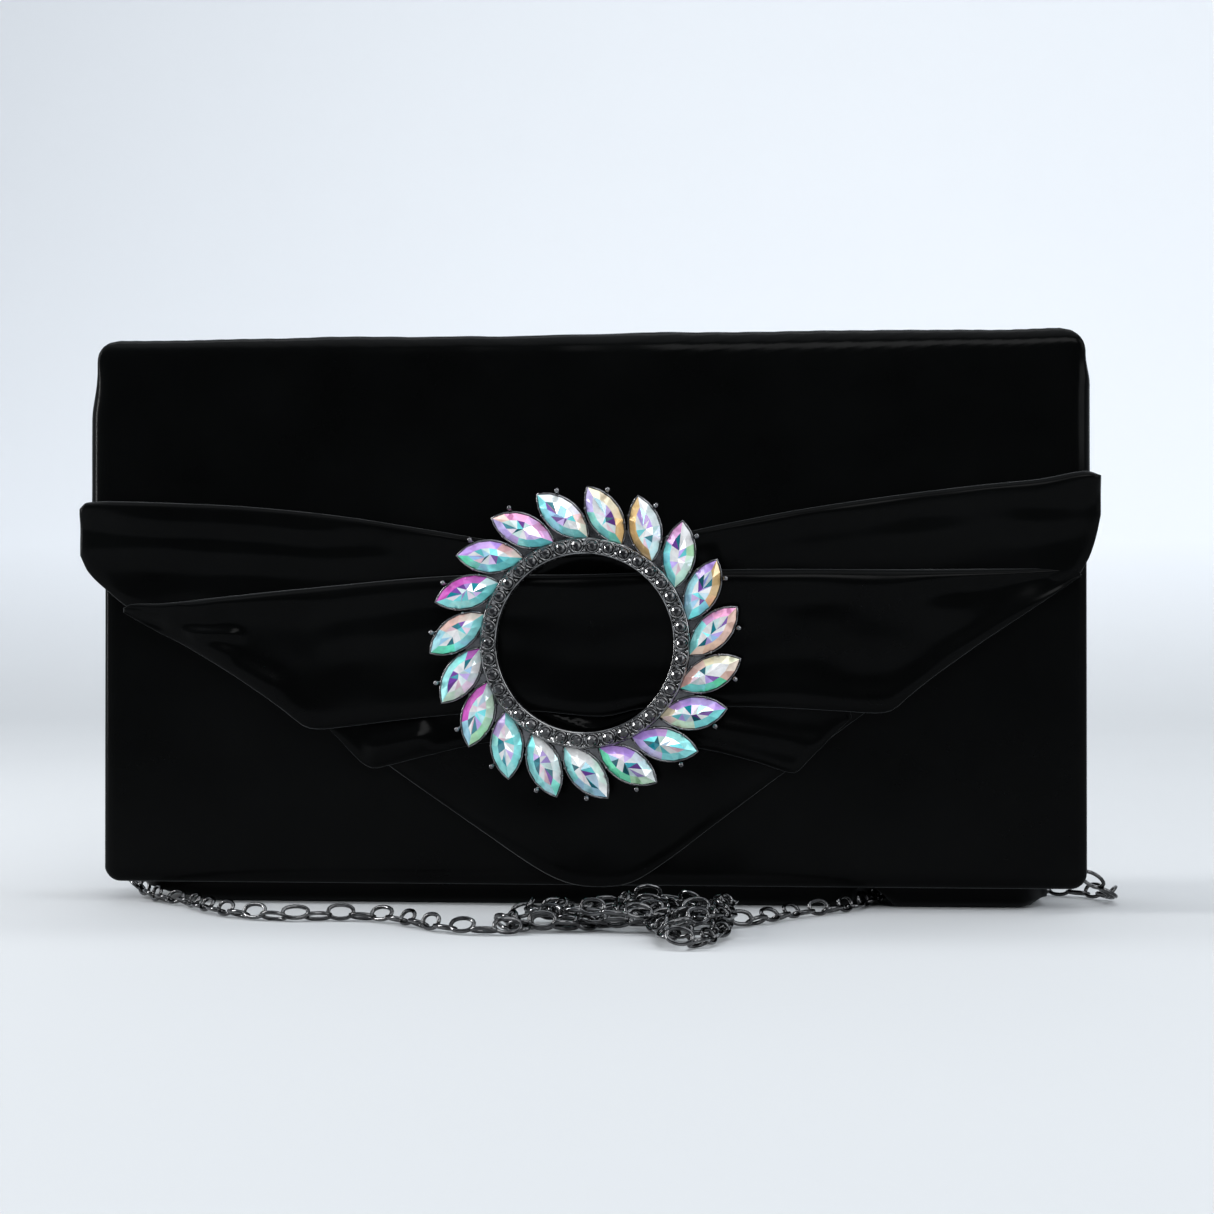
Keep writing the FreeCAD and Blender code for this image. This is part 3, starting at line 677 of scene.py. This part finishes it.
def back_skin():
    """The back wall's covering, carried over the top edge to lie under the flap's."""
    straight = 126.0
    radius = 5.0

    def place(x, v, k):
        thick = 1.5 * k if k < 0 else (1.7 + 0.3 * ripple(x, v, 5.0, 0.03)) * k
        if v <= straight:
            return Vector((stretched(x), WALL_MIDDLE + thick, v))
        angle = min((v - straight) / radius, math.pi / 2)
        rest = max(0.0, v - straight - radius * math.pi / 2)
        fall = 1.0 - 0.45 * math.sin(angle)
        y = WALL_MIDDLE - radius + (radius + thick * fall) * math.cos(angle) - rest
        z = straight + (radius + thick * fall) * math.sin(angle)
        narrow = 4.5 * (1 - math.cos(angle)) * smooth((abs(x) - 80) / 30)
        return Vector((stretched(x) - math.copysign(narrow, x), y, z))

    piece = shell("back_skin", -HALF_PANEL, HALF_PANEL,
                  lambda x: PANEL_LOW + corner_drop(x, HALF_PANEL, LOW_CORNER), lambda x: 136.0,
                  place, 1.6, columns=110, rows=90, edge=0.9)
    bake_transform(piece)
    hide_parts("back_cover")


back_skin()


def plate(node, outline, near, far, body, material):
    """A thin upright layer cut to an X, Z outline, a little inside the covering over its edges."""
    count = len(outline)
    vertices = [Vector((x, y, z)) * MM for y in (near, far) for x, z in outline]
    faces = [tuple(range(count)), tuple(range(2 * count - 1, count - 1, -1))]
    faces += [(a, (a + 1) % count, (a + 1) % count + count, a + count) for a in range(count)]
    piece = mesh_piece(f"{node}_layer", vertices, faces, material, body, shade=False)
    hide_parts(node)


def upright(half, low, high):
    return [(-half, low), (half, low), (half, high), (-half, high)]


# The lid's board is wrapped in its lining, and both boards stop short of the creases.
plate("flap_top_board", upright(106.0, 130.0, 130.8), -14.8, 11.0, "flap_top", BOARD)
plate("flap_top_lining", upright(110.6, 129.6, 131.2), -15.4, 13.6, "flap_top", LINING)
plate("back_board", upright(110.0, 8.0, 124.6), 17.4, 18.6, ROOT, BOARD)
plate("flap_board", [(-109, 123.5), (-109, 82), (-12, 14), (12, 14), (109, 82), (109, 123.5)],
      -22.2, -21.4, "flap_front", BOARD)


# ---------------------------------------------------------------- sash
def pleat(name, node, left, right, low, top, face, back, shape, roll, columns=150):
    """One draped pleat; shape(x, z, share) is how far its face stands in front of plain."""
    def place(x, v, k):
        bottom = low(x)
        share = (v - bottom) / max(0.5, top(x) - bottom)
        front = face - shape(x, v, share)
        middle = (front + back) / 2
        return Vector((x, middle + (front - middle) * k, v))

    piece = shell(name, left, right, low, top, place, roll, columns, rows=36, edge=0.8, crisp=3.0)
    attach(piece, "flap_front")
    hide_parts(node)
    return piece


upper_top = curve_through([
    (-118.6, 92.8), (-116.8, 94.4), (-108.0, 94.6), (-96.0, 94.2), (-80.0, 93.4), (-58.0, 91.2),
    (-36.0, 87.8), (-18.0, 84.8), (1.0, 82.2), (16.0, 85.2), (32.0, 88.7), (52.0, 92.4),
    (73.0, 95.4), (90.0, 97.4), (105.0, 98.9), (115.0, 100.6), (118.5, 99.6)])
upper_low = curve_through([
    (-118.6, 82.0), (-116.8, 78.2), (-112.5, 74.0), (-106.0, 69.0), (-98.0, 66.0), (-66.0, 66.0),
    (1.0, 70.0), (36.0, 72.0), (100.0, 73.0), (112.0, 75.5), (115.6, 80.4), (117.4, 85.5),
    (118.5, 90.7)])
UPPER_CREASES = [
    ((1, 82.5), (-12, 76.5), 0.9, 0.8), ((1, 82.5), (15, 77.5), 0.9, 0.7),
    ((-116, 84), (-40, 80), 3.0, 0.9), ((116, 90), (40, 83), 3.4, 0.8),
    ((-112, 90), (-60, 87), 2.0, 0.5),
]


def upper_shape(x, z, share):
    fold = 1.6 * math.exp(-((share - 0.93) / 0.22) ** 2)
    ends = 1.4 * smooth((abs(x) - 70) / 45)
    slack = 0.5 * ripple(x, z, 1.3, 0.05) + 0.35 * ripple(x * 0.4, z, 6.3, 0.16)
    return fold + ends + slack + folds(x, z, UPPER_CREASES) - 1.0


pleat("sash_upper_pleat", "sash_upper", -118.6, 118.5, upper_low, upper_top, -25.4, -23.6,
      upper_shape, 3.6)

broad_top = curve_through([
    (-108.0, 69.6), (-106.0, 70.5), (-98.0, 70.7), (-84.0, 72.2), (-66.0, 74.0), (-31.0, 77.0),
    (1.0, 77.3), (36.0, 78.4), (73.0, 78.3), (108.0, 78.4), (112.5, 78.2), (114.0, 77.2)])
broad_low = curve_through([
    (-108.0, 68.6), (-101.0, 64.6), (-94.0, 61.2), (-84.0, 55.4), (-76.0, 50.2), (-70.0, 46.0),
    (-66.5, 43.2), (-64.5, 41.9), (-62.0, 41.4), (-58.0, 41.6), (-42.0, 43.6), (-24.0, 45.3),
    (-11.0, 45.7), (5.0, 44.6), (15.5, 46.6), (41.0, 46.8), (60.0, 45.9), (68.0, 45.5),
    (71.5, 46.2), (74.5, 48.8), (80.0, 53.3), (90.3, 60.8), (97.0, 65.3), (103.5, 69.6),
    (110.0, 74.0), (114.0, 76.8)])
BROAD_CREASES = [
    ((-98, 66), (-82, 59), 2.6, 0.7), ((-92, 61), (-70, 51), 3.0, 0.6),
    ((-108, 69), (-86, 68), 1.8, 1.0), ((106, 72), (76, 50.5), 3.6, 0.9),
    ((100, 72), (60, 60), 6.0, 0.3), ((-92, 64.0), (-80, 63.4), 1.3, 0.9),
    ((-100, 71.6), (-93, 71.2), 1.0, 1.0), ((-60, 62), (-26, 66), 4.0, 0.6),
    ((88, 70), (38, 68), 5.0, 0.6),
]


def broad_shape(x, z, share):
    fold = 1.2 * math.exp(-((share - 0.92) / 0.12) ** 2) * smooth((118 - abs(x)) / 30)
    hem = 0.5 * math.exp(-(share / 0.16) ** 2)
    slack = 0.7 * ripple(x, z, 3.7, 0.035) + 0.4 * ripple(x * 0.5, z, 9.3, 0.12)
    ends = -1.6 * smooth((abs(x) - 84) / 26)
    return fold + hem + slack + folds(x, z, BROAD_CREASES) + ends - 1.4


pleat("sash_broad_pleat", "sash_broad", -108.0, 114.0, broad_low, broad_top, -28.4, -25.0,
      broad_shape, 4.4)

narrow_top = curve_through([
    (-60.0, 43.0), (-58.0, 50.0), (-50.0, 57.0), (0.0, 58.0), (52.0, 57.0), (60.0, 50.0),
    (62.0, 45.0)])
narrow_low = curve_through([
    (-60.0, 42.2), (-56.0, 38.0), (-52.0, 33.9), (-49.5, 32.4), (-47.5, 32.4), (-36.0, 35.3),
    (-21.6, 38.4), (1.0, 39.6), (27.0, 37.2), (40.0, 34.2), (47.5, 31.8), (49.6, 31.9),
    (52.5, 34.8), (58.0, 40.4), (62.0, 44.2)])
NARROW_CREASES = [
    ((-50, 37), (-36, 40), 3.0, 1.5), ((54, 38), (28, 43), 2.4, 0.5),
    ((-12, 46.5), (2, 41.2), 0.8, 0.8), ((17, 47), (2, 41.2), 0.8, 0.7),
]


def narrow_shape(x, z, share):
    hem = 0.4 * math.exp(-(share / 0.2) ** 2)
    return hem + folds(x, z, NARROW_CREASES) + 0.3 * ripple(x, z, 4.4, 0.08) - 0.5


pleat("sash_narrow_pleat", "sash_narrow", -60.0, 62.0, narrow_low, narrow_top, -25.2, -23.6,
      narrow_shape, 2.6, columns=100)


# ---------------------------------------------------------------- base and gussets
CHAIN_ARCH = 4.6
END_RISE = 2.2


def under_chain(x, y):
    """How high the base gives way at a place where the chain lies under it."""
    route = [(point[0], point[1]) for point in CHAIN_RIGHT[3:10]]
    near = 1000.0
    for (ax, ay), (bx, by) in zip(route, route[1:]):
        dx = bx - ax
        dy = by - ay
        share = min(1.0, max(0.0, ((x - ax) * dx + (y - ay) * dy) / (dx * dx + dy * dy)))
        near = min(near, math.hypot(x - ax - share * dx, y - ay - share * dy))
    return CHAIN_ARCH * (1 - smooth((near - 2.4) / 3.0))


def base_skin():
    """The belly under the body: a soft tray with rounded long edges and ends."""
    left = -109.0
    right = 107.5
    end_run = 9.0
    section = [(-16.2, 7.0), (-16.3, 5.6), (-15.6, 3.6), (-14.8, 1.8), (-13.6, 0.5), (-12.0, 0.0)]
    section += [(lerp(-10.0, 10.0, step / 10), 0.0) for step in range(11)]
    section += [(12.0, 0.0), (13.6, 0.5), (14.8, 1.8), (15.6, 3.6), (16.5, 5.6), (16.5, 7.0)]
    vertices = []
    faces = []
    stations = [lerp(left, right, share) for share in spread(110, 0.5)]
    for x in stations:
        inside = smooth(max(left + end_run - x, x - right + end_run) / end_run)
        squeeze = math.sqrt(1 - 0.8 * inside * inside)
        lifted = 4.6 * max(0.0, (-88.0 - x) / 20.0) ** 1.3
        under = []
        for y, z in section:
            low = max(z, under_chain(x, y * squeeze), END_RISE * inside * inside, lifted)
            under.append((y * squeeze, low))
        for y, low in under:
            vertices.append(Vector((x, y, low)) * MM)
        for y, low in reversed(under):
            vertices.append(Vector((x, y * 0.93, min(6.9, low * 0.86 + 1.1))) * MM)
    capped_tube_faces(faces, 0, len(stations), 2 * len(section))
    piece = mesh_piece("base_belly", vertices, faces, VELVET, ROOT)
    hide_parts("base_cover")


base_skin()


GUSSET_X = 103.45
GUSSET_HALF = 17.2
GUSSET_LOW = 6.4
GUSSET_TOP = 127.2
GUSSET_FOLD = 6.5
GUSSET_THICK = 1.7


def gusset_skin(side, sign):
    """A side gusset folded inwards along its middle, flat again where the ring's tab is sewn."""
    def profile(y, z):
        fold = 1 - abs(y) / 17.0
        deep = GUSSET_FOLD * smooth(z / 30.0) * (1 - smooth((z - 84.0) / 18.0))
        return deep * smooth(fold * 1.15)

    vertices = []
    faces = []
    steps_y = 24
    steps_z = 60
    for layer in (0.0, GUSSET_THICK):
        for row in range(steps_z + 1):
            z = lerp(GUSSET_LOW, GUSSET_TOP, row / steps_z)
            for column in range(steps_y + 1):
                y = lerp(-GUSSET_HALF, GUSSET_HALF, column / steps_y)
                x = GUSSET_X - profile(y, z) - layer
                vertices.append(Vector((sign * x, y, z)) * MM)
    sheet_size = (steps_y + 1) * (steps_z + 1)
    wide = steps_y + 1
    for layer in (0, 1):
        for row in range(steps_z):
            for column in range(steps_y):
                a = layer * sheet_size + row * wide + column
                faces.append((a, a + 1, a + wide + 1, a + wide))
    rim = ([row * wide for row in range(steps_z + 1)] + [steps_z * wide + c for c in range(1, wide)]
           + [row * wide + steps_y for row in range(steps_z - 1, -1, -1)]
           + [c for c in range(steps_y - 1, 0, -1)])
    for here, following in zip(rim, rim[1:] + rim[:1]):
        faces.append((here, following, following + sheet_size, here + sheet_size))
    piece = mesh_piece(f"gusset_{side}_skin", vertices, faces, VELVET)
    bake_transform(piece)
    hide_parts(f"gusset_{side}", f"gusset_lining_{side}")


gusset_skin("left", -1)
gusset_skin("right", 1)

# ---------------------------------------------------------------- brooch
BROOCH = Vector((1.3, 0.0, 61.5))
BAND_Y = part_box("brooch_frame")[0][1] / MM
STONE_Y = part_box("brooch_band")[0][1] / MM
WREATH = 19
WREATH_CIRCLE = 29.5
WREATH_START = 81.0
WREATH_LEAN = 40.0
NAVETTE_LONG = 15.0
NAVETTE_WIDE = 7.0
BAND_IN = 20.3
BAND_OUT = 24.2
SMALL_COUNT = 38
SMALL_CIRCLE = 22.3
SMALL_SIDES = 8


def spoke(radius, depth, angle):
    """A point at this radius, angle and depth from the brooch's axis, which lies along Y."""
    return Vector((radius * math.cos(angle), depth, radius * math.sin(angle)))


def wreath_place(index):
    """Turns a piece made round the origin, long along X and facing -Y, into the wreath."""
    turn = math.radians(WREATH_START + 360.0 * index / WREATH)
    spot = BROOCH + spoke(WREATH_CIRCLE, 0, turn)
    return Matrix.Translation(spot) @ Matrix.Rotation(-(turn + math.radians(WREATH_LEAN)), 4, "Y")


def navette_ring(count, long, wide):
    """Points round a pointed oval of two arcs."""
    half = long / 2
    rise = wide / 2
    radius = (half * half + rise * rise) / (2 * rise)
    sweep = math.asin(half / radius)
    points = []
    for side in (1, -1):
        for step in range(count // 2):
            angle = lerp(-sweep, sweep, step / (count // 2))
            points.append((side * radius * math.sin(angle),
                           side * (radius * math.cos(angle) - radius + rise)))
    return points


# Painted reflections of the coating, by the way a facet looks: up-left, up-right, down-right, down-left;
# a facet's colour here stands in for what the coating throws back at that angle, and the near-white ones
# are painted highlights.
FACING_REFLECTION_TINTS = [
    [(0.66, 0.14, 0.55), (0.88, 0.36, 0.62), (0.92, 0.56, 0.50), (0.58, 0.38, 0.90)],
    [(0.86, 0.99, 1.00), (0.38, 0.95, 0.98), (0.70, 0.99, 0.97), (0.92, 0.97, 1.00)],
    [(0.18, 0.92, 0.52), (0.30, 0.92, 0.98), (0.58, 0.98, 0.60), (0.32, 0.96, 0.80)],
    [(0.40, 0.70, 1.00), (0.30, 0.88, 0.99), (0.60, 0.52, 0.99), (0.38, 0.94, 0.92)],
]
WARM_TINTS = [(0.72, 0.50, 0.25), (0.94, 0.80, 0.58), (0.92, 0.62, 0.52)]
# Painted reflections seen through the table: the near-white shards are painted highlights, the dark teal
# and violet ones painted shade.
SHARD_REFLECTION_TINTS = [
    (0.012, 0.13, 0.17), (0.02, 0.24, 0.30), (0.55, 0.42, 0.88), (0.66, 0.84, 0.99),
    (0.92, 0.98, 1.00), (0.96, 0.98, 1.00), (0.16, 0.06, 0.30), (0.95, 0.97, 0.99),
    (0.20, 0.72, 0.76), (0.88, 0.62, 0.70), (0.40, 0.64, 0.98), (0.74, 0.97, 0.90),
]


# Painted light on the crystals: every facet's tint is lifted by BRIGHTER and made richer by RICHER,
# standing in for the light the stones throw back.
BRIGHTER = 1.17
RICHER = 1.12


def band_reflection_tint(dice, facing, golden):
    """Painted reflection colour of a long outer facet, picked by the way it faces; stones on the right
    lean to gold.
    """
    if dice.random() < golden:
        return dice.choice(WARM_TINTS)
    sector = int((math.degrees(facing) - 90.0) // -90.0) % 4
    return dice.choice(FACING_REFLECTION_TINTS[(sector + 1) % 4])


def zip_strip(lower, upper):
    """Triangles between two rows of numbered points that run side by side."""
    triangles = []
    i = 0
    j = 0
    while i < len(lower) - 1 or j < len(upper) - 1:
        take_lower = j == len(upper) - 1 or (i < len(lower) - 1 and
                                             (i + 1) / (len(lower) - 1) <= (j + 1) / (len(upper) - 1))
        if take_lower:
            triangles.append((lower[i], lower[i + 1], upper[j]))
            i += 1
        else:
            triangles.append((lower[i], upper[j + 1], upper[j]))
            j += 1
    return triangles


def navette_stones():
    """Nineteen pointed stones: long outer facets round a zone of fine shards with a ridge."""
    dice = random.Random(23)
    vertices = []
    faces = []
    tints = []
    sides = 12
    half = sides // 2
    crest_steps = 3
    for index in range(WREATH):
        move = wreath_place(index)
        turn = WREATH_START + 360.0 * index / WREATH
        lean = math.radians(turn + WREATH_LEAN)
        golden = 0.28 * smooth(0.6 + math.cos(math.radians(turn)))
        swing = dice.uniform(-0.5, 0.5)

        def point(x, z, height):
            vertices.append(move @ Vector((x, BAND_Y - height, z)))
            return len(vertices) - 1

        # Each facet's tint gets a random painted brightness around the lift, standing in for facets that
        # catch more or less light.
        def add(corners, tint, spread_by=0.16):
            share = BRIGHTER + dice.uniform(-1.3 * spread_by, 1.3 * spread_by)
            grey = sum(tint) / 3
            faces.append(corners)
            tints.append(tuple(min(1.0, max(0.004, share * (grey + RICHER * (channel - grey))))
                               for channel in tint))

        girdle = navette_ring(sides, NAVETTE_LONG, NAVETTE_WIDE)
        inner = navette_ring(sides, NAVETTE_LONG * 0.66, NAVETTE_WIDE * 0.54)
        foot = [point(x, z, 0.0) for x, z in girdle]
        edge = [point(x, z, 1.0) for x, z in girdle]
        table = [point(x, z, 2.7) for x, z in inner]
        reach = NAVETTE_LONG * 0.13
        crest = [point(lerp(-reach, reach, step / crest_steps) + dice.uniform(-0.4, 0.4),
                       dice.uniform(-0.5, 0.5), 3.5 + dice.uniform(-0.2, 0.2))
                 for step in range(crest_steps + 1)]
        add(tuple(reversed(foot)), SHARD_REFLECTION_TINTS[0])
        for side in (0, 1):
            split = dice.randint(1, half - 1)
            tint = None
            for step in range(side * half, side * half + half):
                following = (step + 1) % sides
                span = (girdle[following][0] - girdle[step][0], girdle[following][1] - girdle[step][1])
                facing = math.atan2(span[0], -span[1]) + lean + swing
                if step % half in (0, split):
                    tint = band_reflection_tint(dice, facing, golden)
                add((foot[step], foot[following], edge[following], edge[step]), tint)
                add((edge[step], edge[following], table[following], table[step]), tint)
        upper = table[:half + 1]
        lower = [table[(sides - place) % sides] for place in range(half + 1)]
        for row in (upper, lower):
            for triangle in zip_strip(row, crest):
                add(triangle, dice.choice(SHARD_REFLECTION_TINTS), 0.3)
    mesh = bpy.data.meshes.new("navette_crystals")
    mesh.from_pydata([vertex * MM for vertex in vertices], [], faces)
    colors = mesh.color_attributes.new("tint", "FLOAT_COLOR", "CORNER")
    for polygon, tint in zip(mesh.polygons, tints):
        for loop in polygon.loop_indices:
            colors.data[loop].color = (*tint, 1.0)
    mend(mesh)
    piece = new_object("navette_crystals", mesh)
    paint(piece, CRYSTAL)
    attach(piece, "flap_front")
    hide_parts("navette_stones")


navette_stones()


def ball(vertices, faces, centre, radius):
    """A small round bead."""
    rings = 6
    around = 10
    first = len(vertices)
    for ring in range(rings + 1):
        tilt = math.pi * ring / rings
        for step in range(around):
            angle = 2 * math.pi * step / around
            vertices.append(centre + spoke(radius * math.sin(tilt), -radius * math.cos(tilt), angle))
    tube_faces(faces, first, rings + 1, around)


def wire(vertices, faces, points, radius):
    """Round wire through points, capped at both ends."""
    around = 8
    first = len(vertices)
    for index, point in enumerate(points):
        ahead = points[min(index + 1, len(points) - 1)]
        behind = points[max(index - 1, 0)]
        run = (ahead - behind).normalized()
        side = run.cross(Vector((0.31, 0.87, 0.38))).normalized()
        up = run.cross(side)
        for step in range(around):
            angle = 2 * math.pi * step / around
            vertices.append(point + (side * math.cos(angle) + up * math.sin(angle)) * radius)
    capped_tube_faces(faces, first, len(points), around)


def ring_body(vertices, faces, profile):
    """A turned ring about the brooch's axis from (radius, depth) points."""
    around = 152
    first = len(vertices)
    count = len(profile)
    for step in range(around):
        angle = 2 * math.pi * step / around
        for radius, depth in profile:
            vertices.append(BROOCH + spoke(radius, depth, angle))
    for step in range(around):
        for index in range(count):
            a = first + step * count + index
            b = first + step * count + (index + 1) % count
            shift = ((step + 1) % around - step) * count
            faces.append((a, b, b + shift, a + shift))


def torus(vertices, faces, centre, radius, rod):
    """A small wire ring facing -Y."""
    around = 14
    section = 6
    first = len(vertices)
    for step in range(around):
        angle = 2 * math.pi * step / around
        for turn in range(section):
            tilt = 2 * math.pi * turn / section
            reach = radius + rod * math.cos(tilt)
            vertices.append(centre + spoke(reach, rod * math.sin(tilt), angle))
    hoop_faces(faces, first, around, section)


SETTING_RADIUS = 1.42
SETTING_ROD = 0.24
GRAIN = 0.46
RAIL_ROD = 0.27
CLAW_ROD = 0.26
CLAW_BEAD = 0.40
OUTER_ROD = 0.38
OUTER_BEAD = 0.66
# Each point's place along the stone, in front of the brooch's frame, and across the stone.
OUTER_CLAW = [(3.4, 0.3, -2.9), (4.5, 0.5, -3.4), (4.7, 1.6, -3.7)]


def brooch_metal():
    """The band with its little settings, and the rails and claws that hold the large stones."""
    vertices = []
    faces = []
    ring_body(vertices, faces, [
        (BAND_IN, BAND_Y), (BAND_IN, STONE_Y + 0.7), (BAND_IN + 0.2, STONE_Y + 0.3),
        (BAND_IN + 0.5, STONE_Y + 0.25), (BAND_IN + 0.8, STONE_Y + 0.6),
        (BAND_OUT - 0.8, STONE_Y + 0.6), (BAND_OUT - 0.5, STONE_Y + 0.3),
        (BAND_OUT - 0.2, STONE_Y + 0.4), (BAND_OUT, STONE_Y + 0.8), (BAND_OUT, BAND_Y)])
    for index in range(SMALL_COUNT):
        angle = 2 * math.pi * index / SMALL_COUNT
        seat = BROOCH + spoke(SMALL_CIRCLE, STONE_Y + 0.1, angle)
        torus(vertices, faces, seat, SETTING_RADIUS, SETTING_ROD)
        between = 2 * math.pi * (index + 0.5) / SMALL_COUNT
        for radius in (SMALL_CIRCLE - 1.15, SMALL_CIRCLE + 1.25):
            ball(vertices, faces, BROOCH + spoke(radius, STONE_Y - 0.15, between), GRAIN)
    band = mesh_piece("brooch_band_milled", [v * MM for v in vertices], faces, BROOCH_LIGHTENED_METAL,
                      "flap_front")
    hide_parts("brooch_band")

    vertices = []
    faces = []
    half = NAVETTE_LONG / 2
    for index in range(WREATH):
        move = wreath_place(index)
        outline = navette_ring(24, NAVETTE_LONG + 0.5, NAVETTE_WIDE + 0.5)
        rail = [move @ Vector((x, BAND_Y - 0.6, z)) for x, z in outline]
        wire(vertices, faces, rail + rail[:1], RAIL_ROD)
        for along, side in ((half * 0.5, 1), (-half * 0.42, 1), (-half * 0.5, -1)):
            edge = side * (NAVETTE_WIDE / 2 * (1 - (along / half) ** 2) + 0.35)
            bead = move @ Vector((along, BAND_Y - 1.2, edge))
            wire(vertices, faces, [move @ Vector((along, BAND_Y - 0.1, edge)), bead], CLAW_ROD)
            ball(vertices, faces, bead, CLAW_BEAD)
        claw = [move @ Vector((x, BAND_Y - high, z)) for x, high, z in OUTER_CLAW]
        wire(vertices, faces, claw, OUTER_ROD)
        ball(vertices, faces, claw[-1], OUTER_BEAD)
    claws = mesh_piece("brooch_claws", [v * MM for v in vertices], faces, GUNMETAL,
                       "flap_front")
    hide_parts("claws")


brooch_metal()


def small_stones():
    """The band's round stones, each with an eight-sided crown and table."""
    vertices = []
    faces = []
    sides = SMALL_SIDES
    for index in range(SMALL_COUNT):
        turn = 2 * math.pi * index / SMALL_COUNT
        centre = BROOCH + spoke(SMALL_CIRCLE, 0, turn)
        first = len(vertices)
        foot, girdle, crown, table = (first + level * sides for level in range(4))
        for radius, depth, shift in ((1.25, STONE_Y + 0.3, 0.0), (1.32, STONE_Y - 0.05, 0.0),
                                     (1.05, STONE_Y - 0.55, 0.5), (0.55, STONE_Y - 0.9, 0.0)):
            for step in range(sides):
                angle = 2 * math.pi * (step + shift) / sides + turn
                vertices.append(centre + spoke(radius, depth, angle))
        for step in range(sides):
            ahead = (step + 1) % sides
            faces.append((foot + step, foot + ahead, girdle + ahead, girdle + step))
            faces.append((girdle + step, girdle + ahead, crown + step))
            faces.append((girdle + ahead, crown + ahead, crown + step))
            faces.append((crown + step, table + ahead, table + step))
            faces.append((crown + step, crown + ahead, table + ahead))
        faces.append(tuple(range(table, table + sides)))
        faces.append(tuple(range(foot + sides - 1, foot - 1, -1)))
    piece = mesh_piece("band_hematites", [v * MM for v in vertices], faces, HEMATITE,
                       "flap_front", shade=False)
    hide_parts("band_stones")


small_stones()

# ---------------------------------------------------------------- carried-over CAD nodes
CARRIED = {
    "gunmetal": ("brooch_frame", "brooch_posts", "d_ring_left", "d_ring_right", "end_link_left",
                 "end_link_right", "tab_rivets"),
    "velvet": ("ring_tab_left", "ring_tab_right"),
    "lining": ("front_lining", "back_lining", "base_lining", "flap_lining", "slip_pocket"),
    "board": ("front_board", "base_board"),
    "magnet": ("magnet_front", "magnet_flap"),
}
FINISHES = {"gunmetal": GUNMETAL, "velvet": VELVET, "lining": LINING, "board": BOARD, "magnet": STEEL}
for finish, names in CARRIED.items():
    for node_name in names:
        paint(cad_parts[node_name], FINISHES[finish])


# ---------------------------------------------------------------- studio
def cyclorama():
    """A pale floor that turns up into a wall a long way behind."""
    vertices = []
    faces = []
    near = -3.0
    floor_end = 1.2
    radius = 0.9
    wall_top = 4.0
    half_wide = 5.0
    steps = 16
    profile = [(near, 0.0), (floor_end, 0.0)]
    for step in range(1, steps + 1):
        angle = math.pi / 2 * step / steps
        profile.append((floor_end + radius * math.sin(angle), radius - radius * math.cos(angle)))
    profile.append((floor_end + radius, wall_top))
    for y, z in profile:
        vertices.append(Vector((-half_wide, y, z)))
        vertices.append(Vector((half_wide, y, z)))
    for index in range(len(profile) - 1):
        faces.append((2 * index, 2 * index + 1, 2 * index + 3, 2 * index + 2))
    piece = mesh_piece("studio_sweep", vertices, faces, studio_material())


def area_light(name, place, aim, wide, high, power, color):
    data = bpy.data.lights.new(name, "AREA")
    data.shape = "RECTANGLE"
    data.size = wide
    data.size_y = high
    data.energy = power
    data.color = color
    light = new_object(name, data)
    light.location = place
    light.rotation_euler = (Vector(aim) - Vector(place)).to_track_quat("-Z", "Y").to_euler()


# Name, place, point aimed at, width, height, power and colour of each light.
LIGHTS = [
    ("top_box", (0.15, -0.35, 1.7), (0.0, 0.0, 0.0), 1.8, 1.4, 7.5, (0.97, 0.99, 1.0)),
    ("front_fill", (0.30, -1.35, 0.85), (0.0, 0.0, 0.06), 0.8, 0.5, 7.0, (0.98, 0.99, 1.0)),
    ("back_wash", (0.2, 0.9, 1.9), (0.1, 1.7, 0.4), 2.4, 0.8, 24.0, (0.97, 0.99, 1.0)),
    ("left_strip", (-0.95, -0.15, 0.40), (-0.1, 0.0, 0.07), 0.08, 0.8, 8.0, (1.0, 1.0, 1.0)),
    ("right_box", (1.0, -0.5, 0.5), (0.1, 0.0, 0.06), 0.7, 0.7, 5.0, (0.95, 0.98, 1.0)),
]
cyclorama()
for light_row in LIGHTS:
    area_light(*light_row)


def studio_world():
    """Light from above and behind; the room in front of the bag is dim."""
    world = bpy.data.worlds.new("studio")
    world.use_nodes = True
    nodes = world.node_tree.nodes
    links = world.node_tree.links
    place = nodes.new("ShaderNodeTexCoord")
    height = nodes.new("ShaderNodeVectorMath")
    height.operation = "DOT_PRODUCT"
    height.inputs[1].default_value = (0.0, 0.55, 0.8)
    links.new(place.outputs["Generated"], height.inputs[0])
    ramp = nodes.new("ShaderNodeValToRGB")
    ramp.color_ramp.elements[0].color = (0.10, 0.11, 0.12, 1.0)
    ramp.color_ramp.elements[1].position = 0.7
    ramp.color_ramp.elements[1].color = (0.72, 0.77, 0.84, 1.0)
    links.new(height.outputs["Value"], ramp.inputs["Fac"])
    links.new(ramp.outputs["Color"], nodes["Background"].inputs["Color"])
    nodes["Background"].inputs["Strength"].default_value = 1.0
    bpy.context.scene.world = world


studio_world()
bpy.context.scene.view_settings.view_transform = "Standard"
